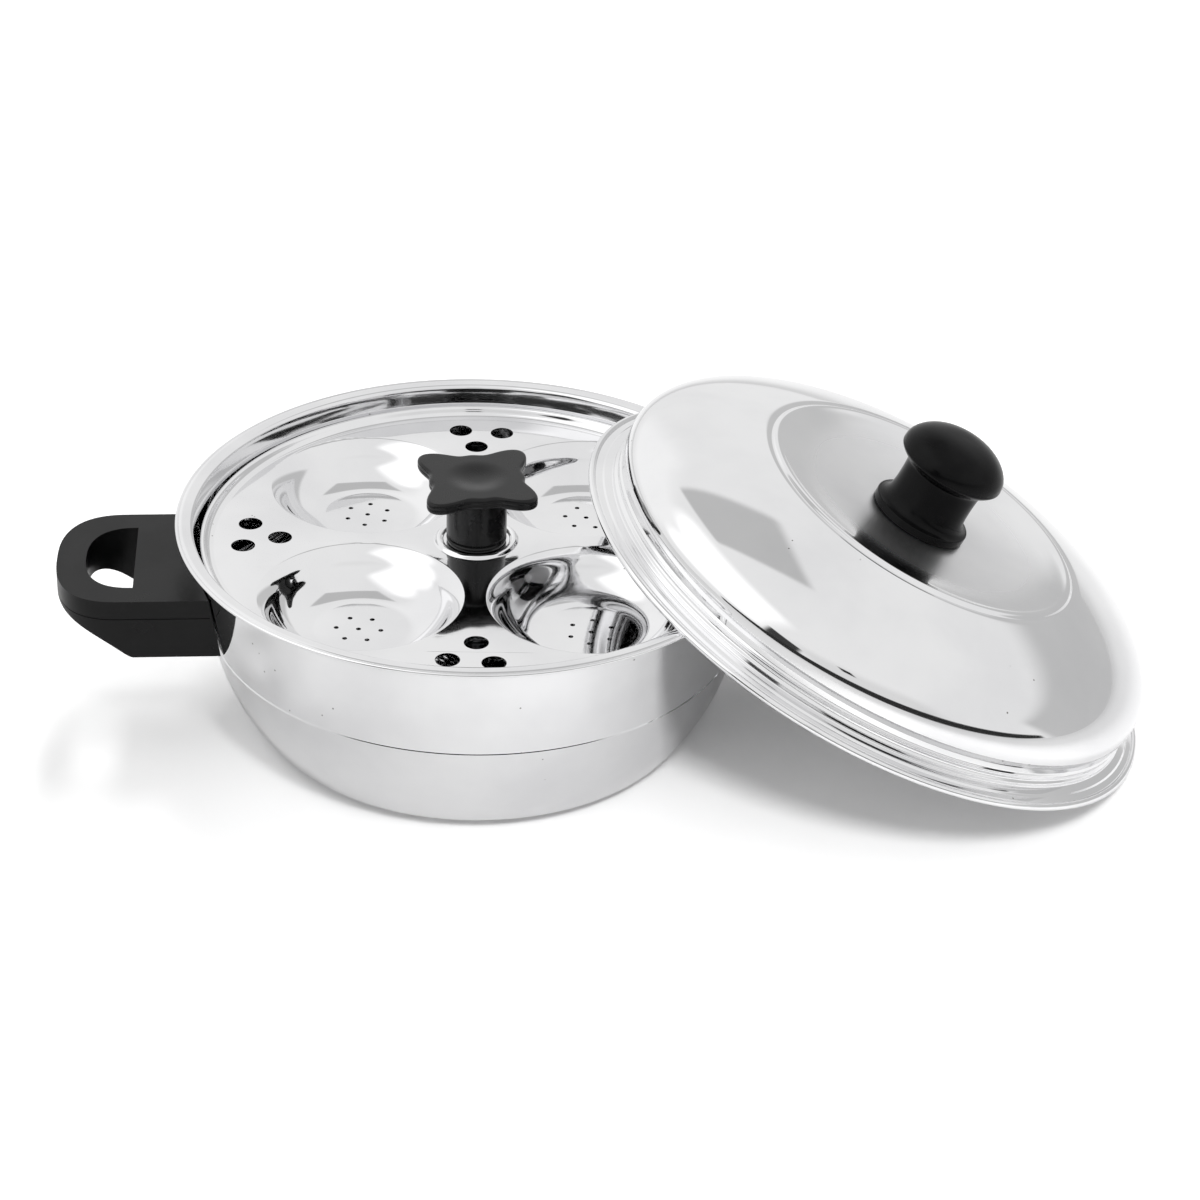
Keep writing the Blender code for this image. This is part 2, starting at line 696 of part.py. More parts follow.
def make_plates(parts, steel):
    upper = cup_plate("plate_upper", upper_plate_height(), UPPER_PLATE_GAP, UPPER_CUP_INNER_REACH, 40, 18)
    place(upper, parts, steel)
    lower = cup_plate("plate_lower", lower_plate_height(), LOWER_PLATE_GAP, LOWER_CUP_INNER_REACH, 32, 14)
    place(lower, parts, steel)


def rod_washer_top():
    return lower_plate_height() - PLATE_SHEET - SEAT_GAP


def nut_top():
    return rod_washer_top() - ROD_WASHER_SHEET - SEAT_GAP


def star_foot_height():
    return upper_plate_height() + SEAT_GAP


def make_rod_parts(parts, steel):
    bottom = nut_top() - NUT_HEIGHT - ROD_BELOW_NUT
    top = star_foot_height() + ROD_IN_KNOB
    rod = [
        (0.0, top),
        (ROD_RADIUS - ROD_CHAMFER, top),
        (ROD_RADIUS, top - ROD_CHAMFER),
        (ROD_RADIUS, bottom + ROD_CHAMFER),
        (ROD_RADIUS - ROD_CHAMFER, bottom),
        (0.0, bottom),
    ]
    place(turned("centre_rod", rod, SMALL_STEPS), parts, steel)
    low = lower_plate_height() + SEAT_GAP
    high = upper_plate_height() - PLATE_SHEET - SEAT_GAP
    spacer = [
        (SPACER_RADIUS, high),
        (SPACER_RADIUS, low),
        (ROD_BORE_RADIUS, low),
        (ROD_BORE_RADIUS, high),
    ]
    place(turned("plate_spacer", spacer, SMALL_STEPS, closed=True), parts, steel)
    ring = washer("rod_washer", ROD_BORE_RADIUS, ROD_WASHER_RADIUS, ROD_WASHER_SHEET)
    ring.location.z = rod_washer_top() - ROD_WASHER_SHEET
    place(ring, parts, steel)
    nut = cylinder("rod_nut", NUT_ACROSS_CORNERS / 2.0, NUT_HEIGHT, steps=6)
    nut.location.z = nut_top() - NUT_HEIGHT
    bore = cylinder("rod_nut_bore", ROD_BORE_RADIUS, CUTTER_REACH, steps=12)
    bore.location.z = nut_top() - CUTTER_REACH / 2.0 - NUT_HEIGHT / 2.0
    combine(nut, bore, "DIFFERENCE")
    place(nut, parts, steel)


def star_outline():
    """Four rounded points with hollow sides, as two waves round a circle."""
    outline = []
    for k in range(STAR_OUTLINE_POINTS):
        angle = math.tau * k / STAR_OUTLINE_POINTS
        wave = STAR_SWING * math.cos(STAR_POINTS * angle)
        tip = STAR_SHARPNESS * math.cos(2.0 * STAR_POINTS * angle)
        radius = STAR_MEAN_RADIUS + wave + tip
        outline.append((radius * math.cos(angle), radius * math.sin(angle)))
    return outline


def make_star_knob(parts, bakelite, brass):
    foot = star_foot_height()
    top = RIM_HEIGHT + STAR_TOP_ABOVE_RIM
    head_base = top - STAR_HEAD_THICKNESS
    knob = flat_shape("star_knob", [star_outline()], STAR_HEAD_THICKNESS, STAR_EDGE_RADIUS, 1)
    knob.location.z = head_base + STAR_HEAD_THICKNESS / 2.0
    neck = [
        (0.0, top - 0.4 * STAR_HEAD_THICKNESS),
        (STAR_NECK_RADIUS, top - 0.4 * STAR_HEAD_THICKNESS),
        (STAR_NECK_RADIUS, foot + STAR_GROOVE_HIGH),
        (STAR_NECK_RADIUS - STAR_FOOT_GROOVE, foot + STAR_GROOVE_HIGH - STAR_FOOT_GROOVE),
        (STAR_NECK_RADIUS - STAR_FOOT_GROOVE, foot + STAR_GROOVE_LOW + STAR_FOOT_GROOVE),
        (STAR_NECK_RADIUS, foot + STAR_GROOVE_LOW),
        (STAR_NECK_RADIUS - STAR_FOOT_GROOVE, foot),
        (0.0, foot),
    ]
    shaft = turned("star_knob_neck", neck, 24)
    combine(knob, shaft, "UNION")
    ball = (STAR_DISH_RADIUS ** 2 + STAR_DISH_DEPTH ** 2) / (2.0 * STAR_DISH_DEPTH)
    dish = [(0.0, top + CUTTER_REACH), (1.2 * STAR_DISH_RADIUS, top + CUTTER_REACH)]
    for k in range(5):
        radius = 1.2 * STAR_DISH_RADIUS * (4 - k) / 4.0
        dish.append((radius, top - STAR_DISH_DEPTH + ball - math.sqrt(ball ** 2 - radius ** 2)))
    combine(knob, turned("star_knob_dish", dish, 20), "DIFFERENCE")
    bore = cylinder("star_knob_bore", STAR_INSERT_RADIUS + BORE_GAP,
                    STAR_INSERT_LENGTH + 2.0 * SEAT_GAP + CUTTER_REACH)
    bore.location.z = foot - CUTTER_REACH
    combine(knob, bore, "DIFFERENCE")
    knob = settled(knob)
    knob.rotation_euler.z = STAR_TURN
    place(knob, parts, bakelite)
    low = foot + SEAT_GAP
    high = low + STAR_INSERT_LENGTH
    insert = [
        (STAR_INSERT_RADIUS, high),
        (STAR_INSERT_RADIUS, low),
        (ROD_BORE_RADIUS, low),
        (ROD_BORE_RADIUS, high),
    ]
    place(turned("star_knob_insert", insert, SMALL_STEPS, closed=True), parts, brass)


def dome_height(radius):
    """Height of the lid's dome, an oval that falls upright at its widest radius."""
    return LID_SHOULDER_HEIGHT + LID_DOME_RISE * math.sqrt(1.0 - (radius / LID_WIDEST_RADIUS) ** 2)


def lid_ring_height():
    return dome_height(LID_RING_RADIUS) + LID_RING_RISE


def lid_centre_height():
    return lid_ring_height() - LID_DISH_DROP


def lid_outside():
    """The lid's outer face, from the screw's hole in the middle out and down to the rolled edge."""
    ring_inner = LID_RING_RADIUS - LID_RING_WIDTH
    ring_height = lid_ring_height()
    centre_height = lid_centre_height()
    points = [
        (LID_SCREW_RADIUS + 2.0 * BORE_GAP, centre_height),
        (KNOB_FLANGE_RADIUS + LID_KNOB_SEAT, centre_height),
        (LID_DISH_BEND[0] * ring_inner, centre_height + LID_DISH_BEND[1] * LID_DISH_DROP),
        (ring_inner, ring_height - LID_RING_BEND),
        (LID_RING_RADIUS - 2.0 * LID_RING_BEND, ring_height),
        (LID_RING_RADIUS, ring_height - LID_RING_BEND),
    ]
    start = math.asin((LID_RING_RADIUS + LID_RING_FOOT) / LID_WIDEST_RADIUS)
    for k in range(LID_DOME_STEPS + 1):
        angle = start + (math.pi / 2.0 - start) * k / LID_DOME_STEPS
        points.append((LID_WIDEST_RADIUS * math.sin(angle),
                       LID_SHOULDER_HEIGHT + LID_DOME_RISE * math.cos(angle)))
    points += [
        (LID_WALL_RADIUS, LID_WALL_TOP),
        (LID_WALL_RADIUS + 0.1 * LID_WALL_FOOT, LID_WALL_FOOT),
        (LID_WALL_RADIUS + 0.8 * LID_WALL_FOOT, 0.45 * LID_WALL_FOOT),
    ]
    points += lid_edge()
    return points


def lid_edge():
    """The lid's flange and rolled edge, out and down."""
    return [
        (LID_RADIUS - 0.0046, 0.0008),
        (LID_RADIUS - 0.0028, 0.0015),
        (LID_RADIUS - 0.0008, 0.0010),
        (LID_RADIUS, -0.0003),
        (LID_RADIUS - 0.0006, -0.0016),
    ]


def distance_to_profile(point, profile):
    nearest = math.inf
    for (r0, z0), (r1, z1) in zip(profile, profile[1:]):
        length = (r1 - r0) ** 2 + (z1 - z0) ** 2
        share = ((point[0] - r0) * (r1 - r0) + (point[1] - z0) * (z1 - z0)) / length
        share = min(max(share, 0.0), 1.0)
        nearest = min(nearest, math.hypot(point[0] - r0 - share * (r1 - r0),
                                          point[1] - z0 - share * (z1 - z0)))
    return nearest


def lid_axis(lean):
    return Vector((math.sin(lean) * math.cos(LID_LEAN_BEARING),
                   math.sin(lean) * math.sin(LID_LEAN_BEARING), math.cos(lean)))


def lid_centre(lean):
    """Middle of the lid's edge when its low side just clears the ground at a given lean."""
    lowest = max(r * math.sin(lean) - z * math.cos(lean) for r, z in lid_edge())
    return Vector((LID_DISTANCE * math.cos(LID_BEARING), LID_DISTANCE * math.sin(LID_BEARING),
                   lowest + SEAT_GAP / 2.0))


def lid_clearance(lean):
    """Least gap between the leaning lid's inner face and the pan's rim."""
    centre = lid_centre(lean)
    axis = lid_axis(lean)
    profile = lid_outside()
    least = math.inf
    for k in range(240):
        angle = math.tau * k / 240
        if math.cos(angle) < 0.0:
            continue
        for radius, height in flange_top():
            spot = Vector((radius * math.cos(angle), radius * math.sin(angle), height)) - centre
            up = spot.dot(axis)
            out = (spot - up * axis).length
            least = min(least, distance_to_profile((out, up), profile))
    return least - LID_SHEET


def seated_lean():
    """The lid's lean at which it rests on the ground and, a seat's gap away, on the pan's rim."""
    low = math.radians(15.0)
    high = math.radians(40.0)
    for _ in range(24):
        middle = (low + high) / 2.0
        if lid_clearance(middle) < LID_SEAT_GAP:
            low = middle
        else:
            high = middle
    return high


def make_lid(parts, steel, bakelite, brass, zinc):
    lean = seated_lean()
    pose = bpy.data.objects.new("lid_pose", None)
    parts.objects.link(pose)
    pose.location = lid_centre(lean)
    pose.rotation_mode = "QUATERNION"
    pose.rotation_quaternion = Vector((0.0, 0.0, 1.0)).rotation_difference(lid_axis(lean))
    shell = turned("lid_shell", lid_outside(), LID_STEPS, sheet=LID_SHEET)
    foot = lid_centre_height() + SEAT_GAP
    knob = place(lid_knob(foot), parts, bakelite)
    low = foot + SEAT_GAP
    insert_profile = [
        (KNOB_INSERT_RADIUS, low + KNOB_INSERT_LENGTH),
        (KNOB_INSERT_RADIUS, low),
        (LID_SCREW_RADIUS + BORE_GAP, low),
        (LID_SCREW_RADIUS + BORE_GAP, low + KNOB_INSERT_LENGTH),
    ]
    insert = place(turned("lid_knob_insert", insert_profile, SMALL_STEPS, closed=True), parts, brass)
    washer_top = lid_centre_height() - LID_SHEET - SEAT_GAP
    ring = washer("lid_knob_washer", LID_SCREW_RADIUS + BORE_GAP, LID_WASHER_RADIUS, LID_WASHER_SHEET)
    ring.location.z = washer_top - LID_WASHER_SHEET
    screw = pan_head_screw("lid_knob_screw", LID_SCREW_RADIUS, LID_SCREW_LENGTH,
                           LID_SCREW_HEAD_RADIUS, LID_SCREW_HEAD_HEIGHT)
    screw.location.z = washer_top - LID_WASHER_SHEET - SEAT_GAP
    place(shell, parts, steel)
    place(ring, parts, zinc)
    place(screw, parts, zinc)
    for piece in (shell, knob, insert, ring, screw):
        piece.parent = pose


def lid_knob(foot):
    """A waisted knob with a flange below and a crowned head, turned about the lid's axis."""
    widest = foot + KNOB_HEAD_WIDEST
    neck_top = foot + KNOB_HEAD_BASE
    top = foot + KNOB_HEIGHT
    bore = KNOB_INSERT_RADIUS + BORE_GAP
    bore_top = foot + KNOB_INSERT_LENGTH + 2.0 * SEAT_GAP
    crown = top - widest
    profile = [(0.0, top), (0.42 * KNOB_HEAD_RADIUS, top - 0.08 * crown)]
    profile += [
        (0.72 * KNOB_HEAD_RADIUS, widest + 0.73 * crown),
        (0.91 * KNOB_HEAD_RADIUS, widest + 0.46 * crown),
        (0.985 * KNOB_HEAD_RADIUS, widest + 0.19 * crown),
        (KNOB_HEAD_RADIUS, widest),
        (0.97 * KNOB_HEAD_RADIUS, widest - 0.0020),
        (0.87 * KNOB_HEAD_RADIUS, neck_top + 0.0010),
        (KNOB_NECK_RADIUS + 0.0005, neck_top),
        (KNOB_NECK_RADIUS, foot + 0.6 * KNOB_HEAD_BASE),
        (KNOB_NECK_RADIUS + 0.0002, foot + KNOB_FLANGE_HEIGHT + 0.0020),
        (KNOB_NECK_RADIUS + 0.0022, foot + KNOB_FLANGE_HEIGHT + 0.0006),
        (KNOB_FLANGE_RADIUS - 0.0012, foot + KNOB_FLANGE_HEIGHT),
        (KNOB_FLANGE_RADIUS, foot + 0.62 * KNOB_FLANGE_HEIGHT),
        (KNOB_FLANGE_RADIUS, foot + 0.0006),
        (KNOB_FLANGE_RADIUS - 0.0006, foot),
        (bore, foot),
        (bore, bore_top),
        (0.0, bore_top),
    ]
    return turned("lid_knob", profile, KNOB_STEPS)


def build():
    for obj in list(bpy.data.objects):
        bpy.data.objects.remove(obj, do_unlink=True)
    parts = new_collection("multi_kadai")
    new_collection("cutters")
    steel = material("polished_steel", (0.78, 0.78, 0.79), 1.0, 0.12)
    zinc = material("plated_steel", (0.62, 0.63, 0.64), 1.0, 0.30)
    aluminium = material("base_aluminium", (0.70, 0.70, 0.71), 1.0, 0.45)
    bakelite = material("black_bakelite", (0.018, 0.018, 0.019), 0.0, 0.28)
    brass = material("insert_brass", (0.72, 0.55, 0.28), 1.0, 0.35)
    make_pan(parts, steel)
    make_base(parts, steel, aluminium)
    for side, turn in (("right", 0.0), ("left", math.pi)):
        make_bracket(side, turn, parts, zinc)
        make_handle(side, turn, parts, bakelite)
        make_handle_fixings(side, turn, parts, zinc)
    make_plates(parts, steel)
    make_rod_parts(parts, zinc)
    make_star_knob(parts, bakelite, brass)
    make_lid(parts, steel, bakelite, brass, zinc)


build()
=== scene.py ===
import math
import bmesh
import bpy
from mathutils import Euler, Matrix, Vector


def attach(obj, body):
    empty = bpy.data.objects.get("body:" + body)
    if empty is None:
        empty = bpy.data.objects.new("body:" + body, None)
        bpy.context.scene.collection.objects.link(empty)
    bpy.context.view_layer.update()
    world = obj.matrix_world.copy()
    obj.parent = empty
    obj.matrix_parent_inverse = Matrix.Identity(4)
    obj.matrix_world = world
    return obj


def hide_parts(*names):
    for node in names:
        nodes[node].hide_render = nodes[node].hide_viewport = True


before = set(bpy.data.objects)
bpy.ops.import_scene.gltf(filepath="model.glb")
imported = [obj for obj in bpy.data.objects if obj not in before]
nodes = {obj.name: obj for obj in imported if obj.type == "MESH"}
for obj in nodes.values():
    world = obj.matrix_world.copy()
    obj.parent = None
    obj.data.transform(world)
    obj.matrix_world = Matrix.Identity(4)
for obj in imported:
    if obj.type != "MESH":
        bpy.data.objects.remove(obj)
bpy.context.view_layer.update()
scene = bpy.context.scene
mm = 0.001

# Profiles


def between(start, end, share):
    return (start[0] + (end[0] - start[0]) * share, start[1] + (end[1] - start[1]) * share)


def arcPath(centre, radius, start, end, stepDegrees=4.0):
    # points of an arc in the (radius, height) plane, angles in degrees from outwards
    count = max(2, int(abs(end - start) / stepDegrees) + 1)
    angles = [math.radians(start + (end - start) * k / (count - 1)) for k in range(count)]
    return [(centre[0] + radius * math.cos(a), centre[1] + radius * math.sin(a)) for a in angles]


def filleted(corners, stepDegrees=8.0, leastBend=0.02, mostOfSide=0.49):
    # a path through (r, z, fillet) corners, each corner rounded by its own fillet
    path = [corners[0][:2]]
    for before, corner, after in zip(corners, corners[1:], corners[2:]):
        fillet = corner[2] if len(corner) > 2 else 0.0
        here = Vector(corner[:2])
        toBefore = Vector(before[:2]) - here
        toAfter = Vector(after[:2]) - here
        bend = math.pi - toBefore.angle(toAfter)
        if fillet <= 0.0 or bend < leastBend:
            path.append(tuple(here))
            continue
        reach = min(fillet * math.tan(bend / 2), toBefore.length * mostOfSide, toAfter.length * mostOfSide)
        radius = reach / math.tan(bend / 2)
        inwards = (toBefore.normalized() + toAfter.normalized()).normalized()
        middle = here + inwards * radius / math.cos(bend / 2)
        armFirst = here + toBefore.normalized() * reach - middle
        armLast = here + toAfter.normalized() * reach - middle
        count = max(3, int(math.degrees(bend) / stepDegrees) + 2)
        for k in range(count):
            arm = armFirst.lerp(armLast, k / (count - 1))
            path.append(tuple(middle + arm.normalized() * radius))
    path.append(corners[-1][:2])
    return path


def smoothPath(controls, perSpan=8):
    # a soft curve led by its control points (a cubic B-spline), from the first of them to the last
    padded = [controls[0]] * 2 + list(controls) + [controls[-1]] * 2
    path = []
    for span in zip(padded, padded[1:], padded[2:], padded[3:]):
        for k in range(perSpan):
            t = k / perSpan
            weights = ((1 - t) ** 3, 3 * t ** 3 - 6 * t * t + 4, -3 * t ** 3 + 3 * t * t + 3 * t + 1, t ** 3)
            path.append(tuple(sum(w * p[i] for w, p in zip(weights, span)) / 6 for i in range(2)))
    path.append(tuple(controls[-1]))
    return cleaned(path)


def cleaned(path, least=0.02 * mm):
    # points that lie on the one before are left out
    kept = [path[0]]
    for point in path[1:]:
        if math.dist(point, kept[-1]) > least:
            kept.append(point)
    return kept


def subdivided(path, longest):
    # long straight runs are split, so that shading stays true beside a tight bend
    made = [path[0]]
    for start, end in zip(path, path[1:]):
        count = max(1, math.ceil(math.dist(start, end) / longest))
        made += [between(start, end, k / count) for k in range(1, count + 1)]
    return made


def guarded(path, reach, leastBend=6.0):
    # points a little way off each clear bend, so that the bend's shading stays narrow
    clear = [True]
    for before, here, after in zip(path, path[1:], path[2:]):
        bend = (Vector(here) - Vector(before)).angle(Vector(after) - Vector(here))
        clear.append(math.degrees(bend) > leastBend)
    clear.append(True)
    made = [path[0]]
    for k, (start, end) in enumerate(zip(path, path[1:])):
        length = math.dist(start, end)
        if length > 3 * reach and clear[k]:
            made.append(between(start, end, reach / length))
        if length > 3 * reach and clear[k + 1]:
            made.append(between(start, end, 1 - reach / length))
        made.append(end)
    return made


def thinned(path, off):
    # points that lie close to the line between their neighbours are left out
    kept = [path[0]]
    for point, after in zip(path[1:], path[2:]):
        start = Vector(kept[-1])
        along = (Vector(after) - start).normalized()
        if abs((Vector(point) - start).cross(along)) > off:
            kept.append(point)
    return kept + [path[-1]]


def offsetPath(path, distance):
    # the path moved to its right by a distance, as the other face of a sheet
    moved = []
    for k, point in enumerate(path):
        before = Vector(path[max(k - 1, 0)])
        after = Vector(path[min(k + 1, len(path) - 1)])
        along = (after - before).normalized()
        moved.append((max(point[0] + along.y * distance, 0.0), point[1] - along.x * distance))
    return moved


def ringOf(centre, radius, count, turn=0.0):
    return [(centre[0] + radius * math.cos(turn + math.tau * k / count),
             centre[1] + radius * math.sin(turn + math.tau * k / count)) for k in range(count)]


# Meshes


def bridge(mesh, upper, lower):
    # faces between two rings, where a ring of one point is a tip
    count = max(len(upper), len(lower))
    for k in range(count):
        j = (k + 1) % count
        corners = [upper[k % len(upper)], lower[k % len(lower)],
                   lower[j % len(lower)], upper[j % len(upper)]]
        corners = list(dict.fromkeys(corners))
        if len(corners) > 2:
            mesh.faces.new(corners)


def spunObject(name, path, segments, closed=False, axisRadius=0.001 * mm):
    # a (radius, height) path turned about Z; a point on the axis becomes one vertex
    mesh = bmesh.new()
    rings = []
    for radius, height in path:
        points = ringOf((0.0, 0.0), radius, segments) if radius >= axisRadius else [(0.0, 0.0)]
        rings.append([mesh.verts.new((x, y, height)) for x, y in points])
    for upper, lower in zip(rings, rings[1:]):
        bridge(mesh, upper, lower)
    if closed:
        bridge(mesh, rings[-1], rings[0])
    bmesh.ops.recalc_face_normals(mesh, faces=mesh.faces)
    return meshObject(name, mesh)


def meshObject(name, mesh):
    data = bpy.data.meshes.new(name)
    mesh.to_mesh(data)
    mesh.free()
    data.shade_smooth()
    made = bpy.data.objects.new(name, data)
    scene.collection.objects.link(made)
    return made


def applyModifiers(piece):
    bpy.context.view_layer.update()
    graph = bpy.context.evaluated_depsgraph_get()
    data = bpy.data.meshes.new_from_object(piece.evaluated_get(graph))
    piece.modifiers.clear()
    piece.data = data


def combine(piece, other, operation):
    change = piece.modifiers.new(operation.title(), "BOOLEAN")
    change.operation = operation
    change.object = other
    change.solver = "EXACT"
    applyModifiers(piece)
    bpy.data.objects.remove(other)


def softEdges(piece, width, segments, angle):
    bevel = piece.modifiers.new("Edges", "BEVEL")
    bevel.width = width
    bevel.segments = segments
    bevel.limit_method = "ANGLE"
    bevel.angle_limit = math.radians(angle)
    bevel.use_clamp_overlap = True
    applyModifiers(piece)


def evenShading(piece, angle):
    # large faces lead the shading, so flat areas reflect as flats; edges over the angle stay sharp
    piece.data.shade_smooth()
    piece.data.set_sharp_from_angle(angle=math.radians(angle))
    weighted = piece.modifiers.new("Shading", "WEIGHTED_NORMAL")
    weighted.weight = 100
    weighted.keep_sharp = True
    applyModifiers(piece)


def settle(piece, pose):
    # the mesh is moved into place, and keeps its own coordinates for the materials
    spots = piece.data.attributes.new("spot", "FLOAT_VECTOR", "POINT")
    spots.data.foreach_set("vector", [value for vertex in piece.data.vertices for value in vertex.co])
    piece.data.transform(pose)


# Shader helpers


class Nodes:
    # short calls for building a node tree
    def __init__(self, tree):
        self.tree = tree

    def feed(self, value, socket):
        # a link from another node's output, or else the socket's own value
        if isinstance(value, bpy.types.NodeSocket):
            self.tree.links.new(value, socket)
        else:
            socket.default_value = value

    def add(self, kind, inputs=None, **settings):
        node = self.tree.nodes.new(kind)
        for key, value in settings.items():
            setattr(node, key, value)
        for key, value in (inputs or {}).items():
            self.feed(value, node.inputs[key])
        return node

    def math(self, operation, *values):
        return self.add("ShaderNodeMath", dict(enumerate(values)), operation=operation).outputs[0]

    def noise(self, vector, scale, detail=3.0, roughness=0.5):
        node = self.add("ShaderNodeTexNoise", {"Vector": vector, "Scale": scale, "Detail": detail,
                                               "Roughness": roughness})
        return node.outputs["Fac"]

    def ramp(self, value, low, high, toLow=0.0, toHigh=1.0):
        node = self.add("ShaderNodeMapRange", {"Value": value, "From Min": low, "From Max": high,
                                               "To Min": toLow, "To Max": toHigh},
                        interpolation_type="SMOOTHSTEP")
        return node.outputs["Result"]

    def mixColour(self, factor, first, second):
        node = self.add("ShaderNodeMix", data_type="RGBA")
        for index, value in ((0, factor), (6, first), (7, second)):
            self.feed(value, node.inputs[index])
        return node.outputs[2]

    def bump(self, height, distance, strength=1.0, normal=None):
        inputs = {"Height": height, "Strength": strength, "Distance": distance}
        if normal:
            inputs["Normal"] = normal
        return self.add("ShaderNodeBump", inputs).outputs[0]

    def axes(self, vector):
        return self.add("ShaderNodeSeparateXYZ", {0: vector}).outputs

    def axisDistance(self, x, y):
        return self.math("SQRT", self.math("ADD", self.math("MULTIPLY", x, x), self.math("MULTIPLY", y, y)))

    def ownSpot(self):
        # a piece's own coordinates, kept from before it was put in its place
        return self.add("ShaderNodeAttribute", attribute_name="spot").outputs["Vector"]

    def objectSpot(self):
        return self.add("ShaderNodeTexCoord").outputs["Object"]

    def group(self, tree, inputs):
        return self.add("ShaderNodeGroup", inputs, node_tree=tree).outputs


def newGroup(name, values, outputs):
    # a shader group that takes a Vector and named values, and puts out named values
    tree = bpy.data.node_groups.new(name, "ShaderNodeTree")
    tree.interface.new_socket("Vector", in_out="INPUT", socket_type="NodeSocketVector")
    for socketName, value in values.items():
        socket = tree.interface.new_socket(socketName, in_out="INPUT", socket_type="NodeSocketFloat")
        socket.default_value = value
    for socketName in outputs:
        tree.interface.new_socket(socketName, in_out="OUTPUT", socket_type="NodeSocketFloat")
    n = Nodes(tree)
    return tree, n, n.add("NodeGroupInput").outputs, n.add("NodeGroupOutput").inputs


def newMaterial(name):
    made = bpy.data.materials.new(name)
    made.use_nodes = True
    return made, Nodes(made.node_tree), made.node_tree.nodes["Principled BSDF"].inputs


def dress(piece, skin):
    piece.data.materials.clear()
    piece.data.materials.append(skin)


# Shared effects


def makeSpinMarks():
    # rings left by spinning and buffing, with soft patches where the buffing varied
    values = {"Ring Scale": 900.0, "Patch Scale": 14.0, "Ring Drift": 0.02}
    tree, n, given, out = newGroup("SpinMarks", values, ("Rings", "Patches"))
    x, y, z = n.axes(given["Vector"])
    drift = n.math("MULTIPLY", x, given["Ring Drift"])
    across = n.add("ShaderNodeCombineXYZ", {0: n.axisDistance(x, y), 1: z, 2: drift}).outputs[0]
    n.feed(n.noise(across, given["Ring Scale"], detail=2.0, roughness=0.6), out["Rings"])
    n.feed(n.noise(given["Vector"], given["Patch Scale"], detail=4.0, roughness=0.55), out["Patches"])
    return tree


def makeDust():
    # sparse specks of dust and pits, as a mask
    values = {"Scale": 160.0, "Size": 0.06, "Spread": 0.62, "Area Scale": 23.0}
    tree, n, given, out = newGroup("DustSpecks", values, ("Specks",))
    cells = n.add("ShaderNodeTexVoronoi", {"Vector": given["Vector"], "Scale": given["Scale"]}).outputs
    dot = n.math("LESS_THAN", cells["Distance"], given["Size"])
    where = n.noise(given["Vector"], given["Area Scale"], detail=2.0)
    n.feed(n.math("MULTIPLY", dot, n.math("GREATER_THAN", where, given["Spread"])), out["Specks"])
    return tree


def makeGrain():
    # the fine dimpled skin and cloudy gloss of moulded plastic
    values = {"Scale": 1400.0, "Cloud Scale": 45.0}
    tree, n, given, out = newGroup("MouldedGrain", values, ("Grain", "Cloud"))
    n.feed(n.noise(given["Vector"], given["Scale"], detail=3.0, roughness=0.6), out["Grain"])
    n.feed(n.noise(given["Vector"], given["Cloud Scale"], detail=4.0, roughness=0.6), out["Cloud"])
    return tree


spinMarks = makeSpinMarks()
dustSpecks = makeDust()
mouldedGrain = makeGrain()

# Materials

toneRange = (0.35, 0.70)  # the part of a noise over which a colour changes
roughRange = (0.30, 0.70)  # and a roughness

polish = {
    "bright": (0.86, 0.86, 0.865, 1.0),
    "dull": (0.78, 0.78, 0.79, 1.0),
    "speck": (0.20, 0.19, 0.18, 1.0),
    "roughLow": 0.035,
    "roughHigh": 0.085,
    "ringShare": 0.4,
    "patchShare": 0.6,
    "waveScale": 9.0,
    "waveHeight": 0.012 * mm,
    "ringHeight": 0.0006 * mm,
}
# painted shade below the pan's drawn line: a slight darkening of the wall's colour that stands in for a
# darker reflection
paintedLowerShade = {"height": 47.8 * mm, "soft": 0.3 * mm, "shade": (0.0, 0.0, 0.0, 1.0), "share": 0.06}
satinMiddle = {"inner": 44.0 * mm, "outer": 66.0 * mm, "rough": 0.26}


def makePolishedSteel(name, look, lowerShade=None, satin=None, carried=False):
    made, n, surface = newMaterial(name)
    spot = n.objectSpot() if carried else n.ownSpot()
    marks = n.group(spinMarks, {"Vector": spot})
    specks = n.group(dustSpecks, {"Vector": spot})["Specks"]
    tone = n.mixColour(n.ramp(marks["Patches"], *toneRange), look["bright"], look["dull"])
    if lowerShade:
        # painted shade: below its drawn line the wall's colour is darkened a little, standing in for the
        # darker floor it reflects there
        low, high = lowerShade["height"] - lowerShade["soft"], lowerShade["height"] + lowerShade["soft"]
        below = n.ramp(n.axes(spot)[2], low, high, lowerShade["share"], 0.0)
        tone = n.mixColour(below, tone, lowerShade["shade"])
    n.feed(n.mixColour(specks, tone, look["speck"]), surface["Base Color"])
    worn = n.math("ADD", n.math("MULTIPLY", marks["Rings"], look["ringShare"]),
                  n.math("MULTIPLY", marks["Patches"], look["patchShare"]))
    rough = n.ramp(worn, *roughRange, look["roughLow"], look["roughHigh"])
    if satin:
        # the middle is buffed less than the rest
        x, y = n.axes(spot)[:2]
        middle = n.ramp(n.axisDistance(x, y), satin["inner"], satin["outer"], satin["rough"], 0.0)
        rough = n.math("ADD", rough, middle)
    n.feed(rough, surface["Roughness"])
    n.feed(1.0, surface["Metallic"])
    swell = n.bump(n.noise(spot, look["waveScale"], detail=1.0, roughness=0.4), look["waveHeight"])
    n.feed(n.bump(marks["Rings"], look["ringHeight"], normal=swell), surface["Normal"])
    return made


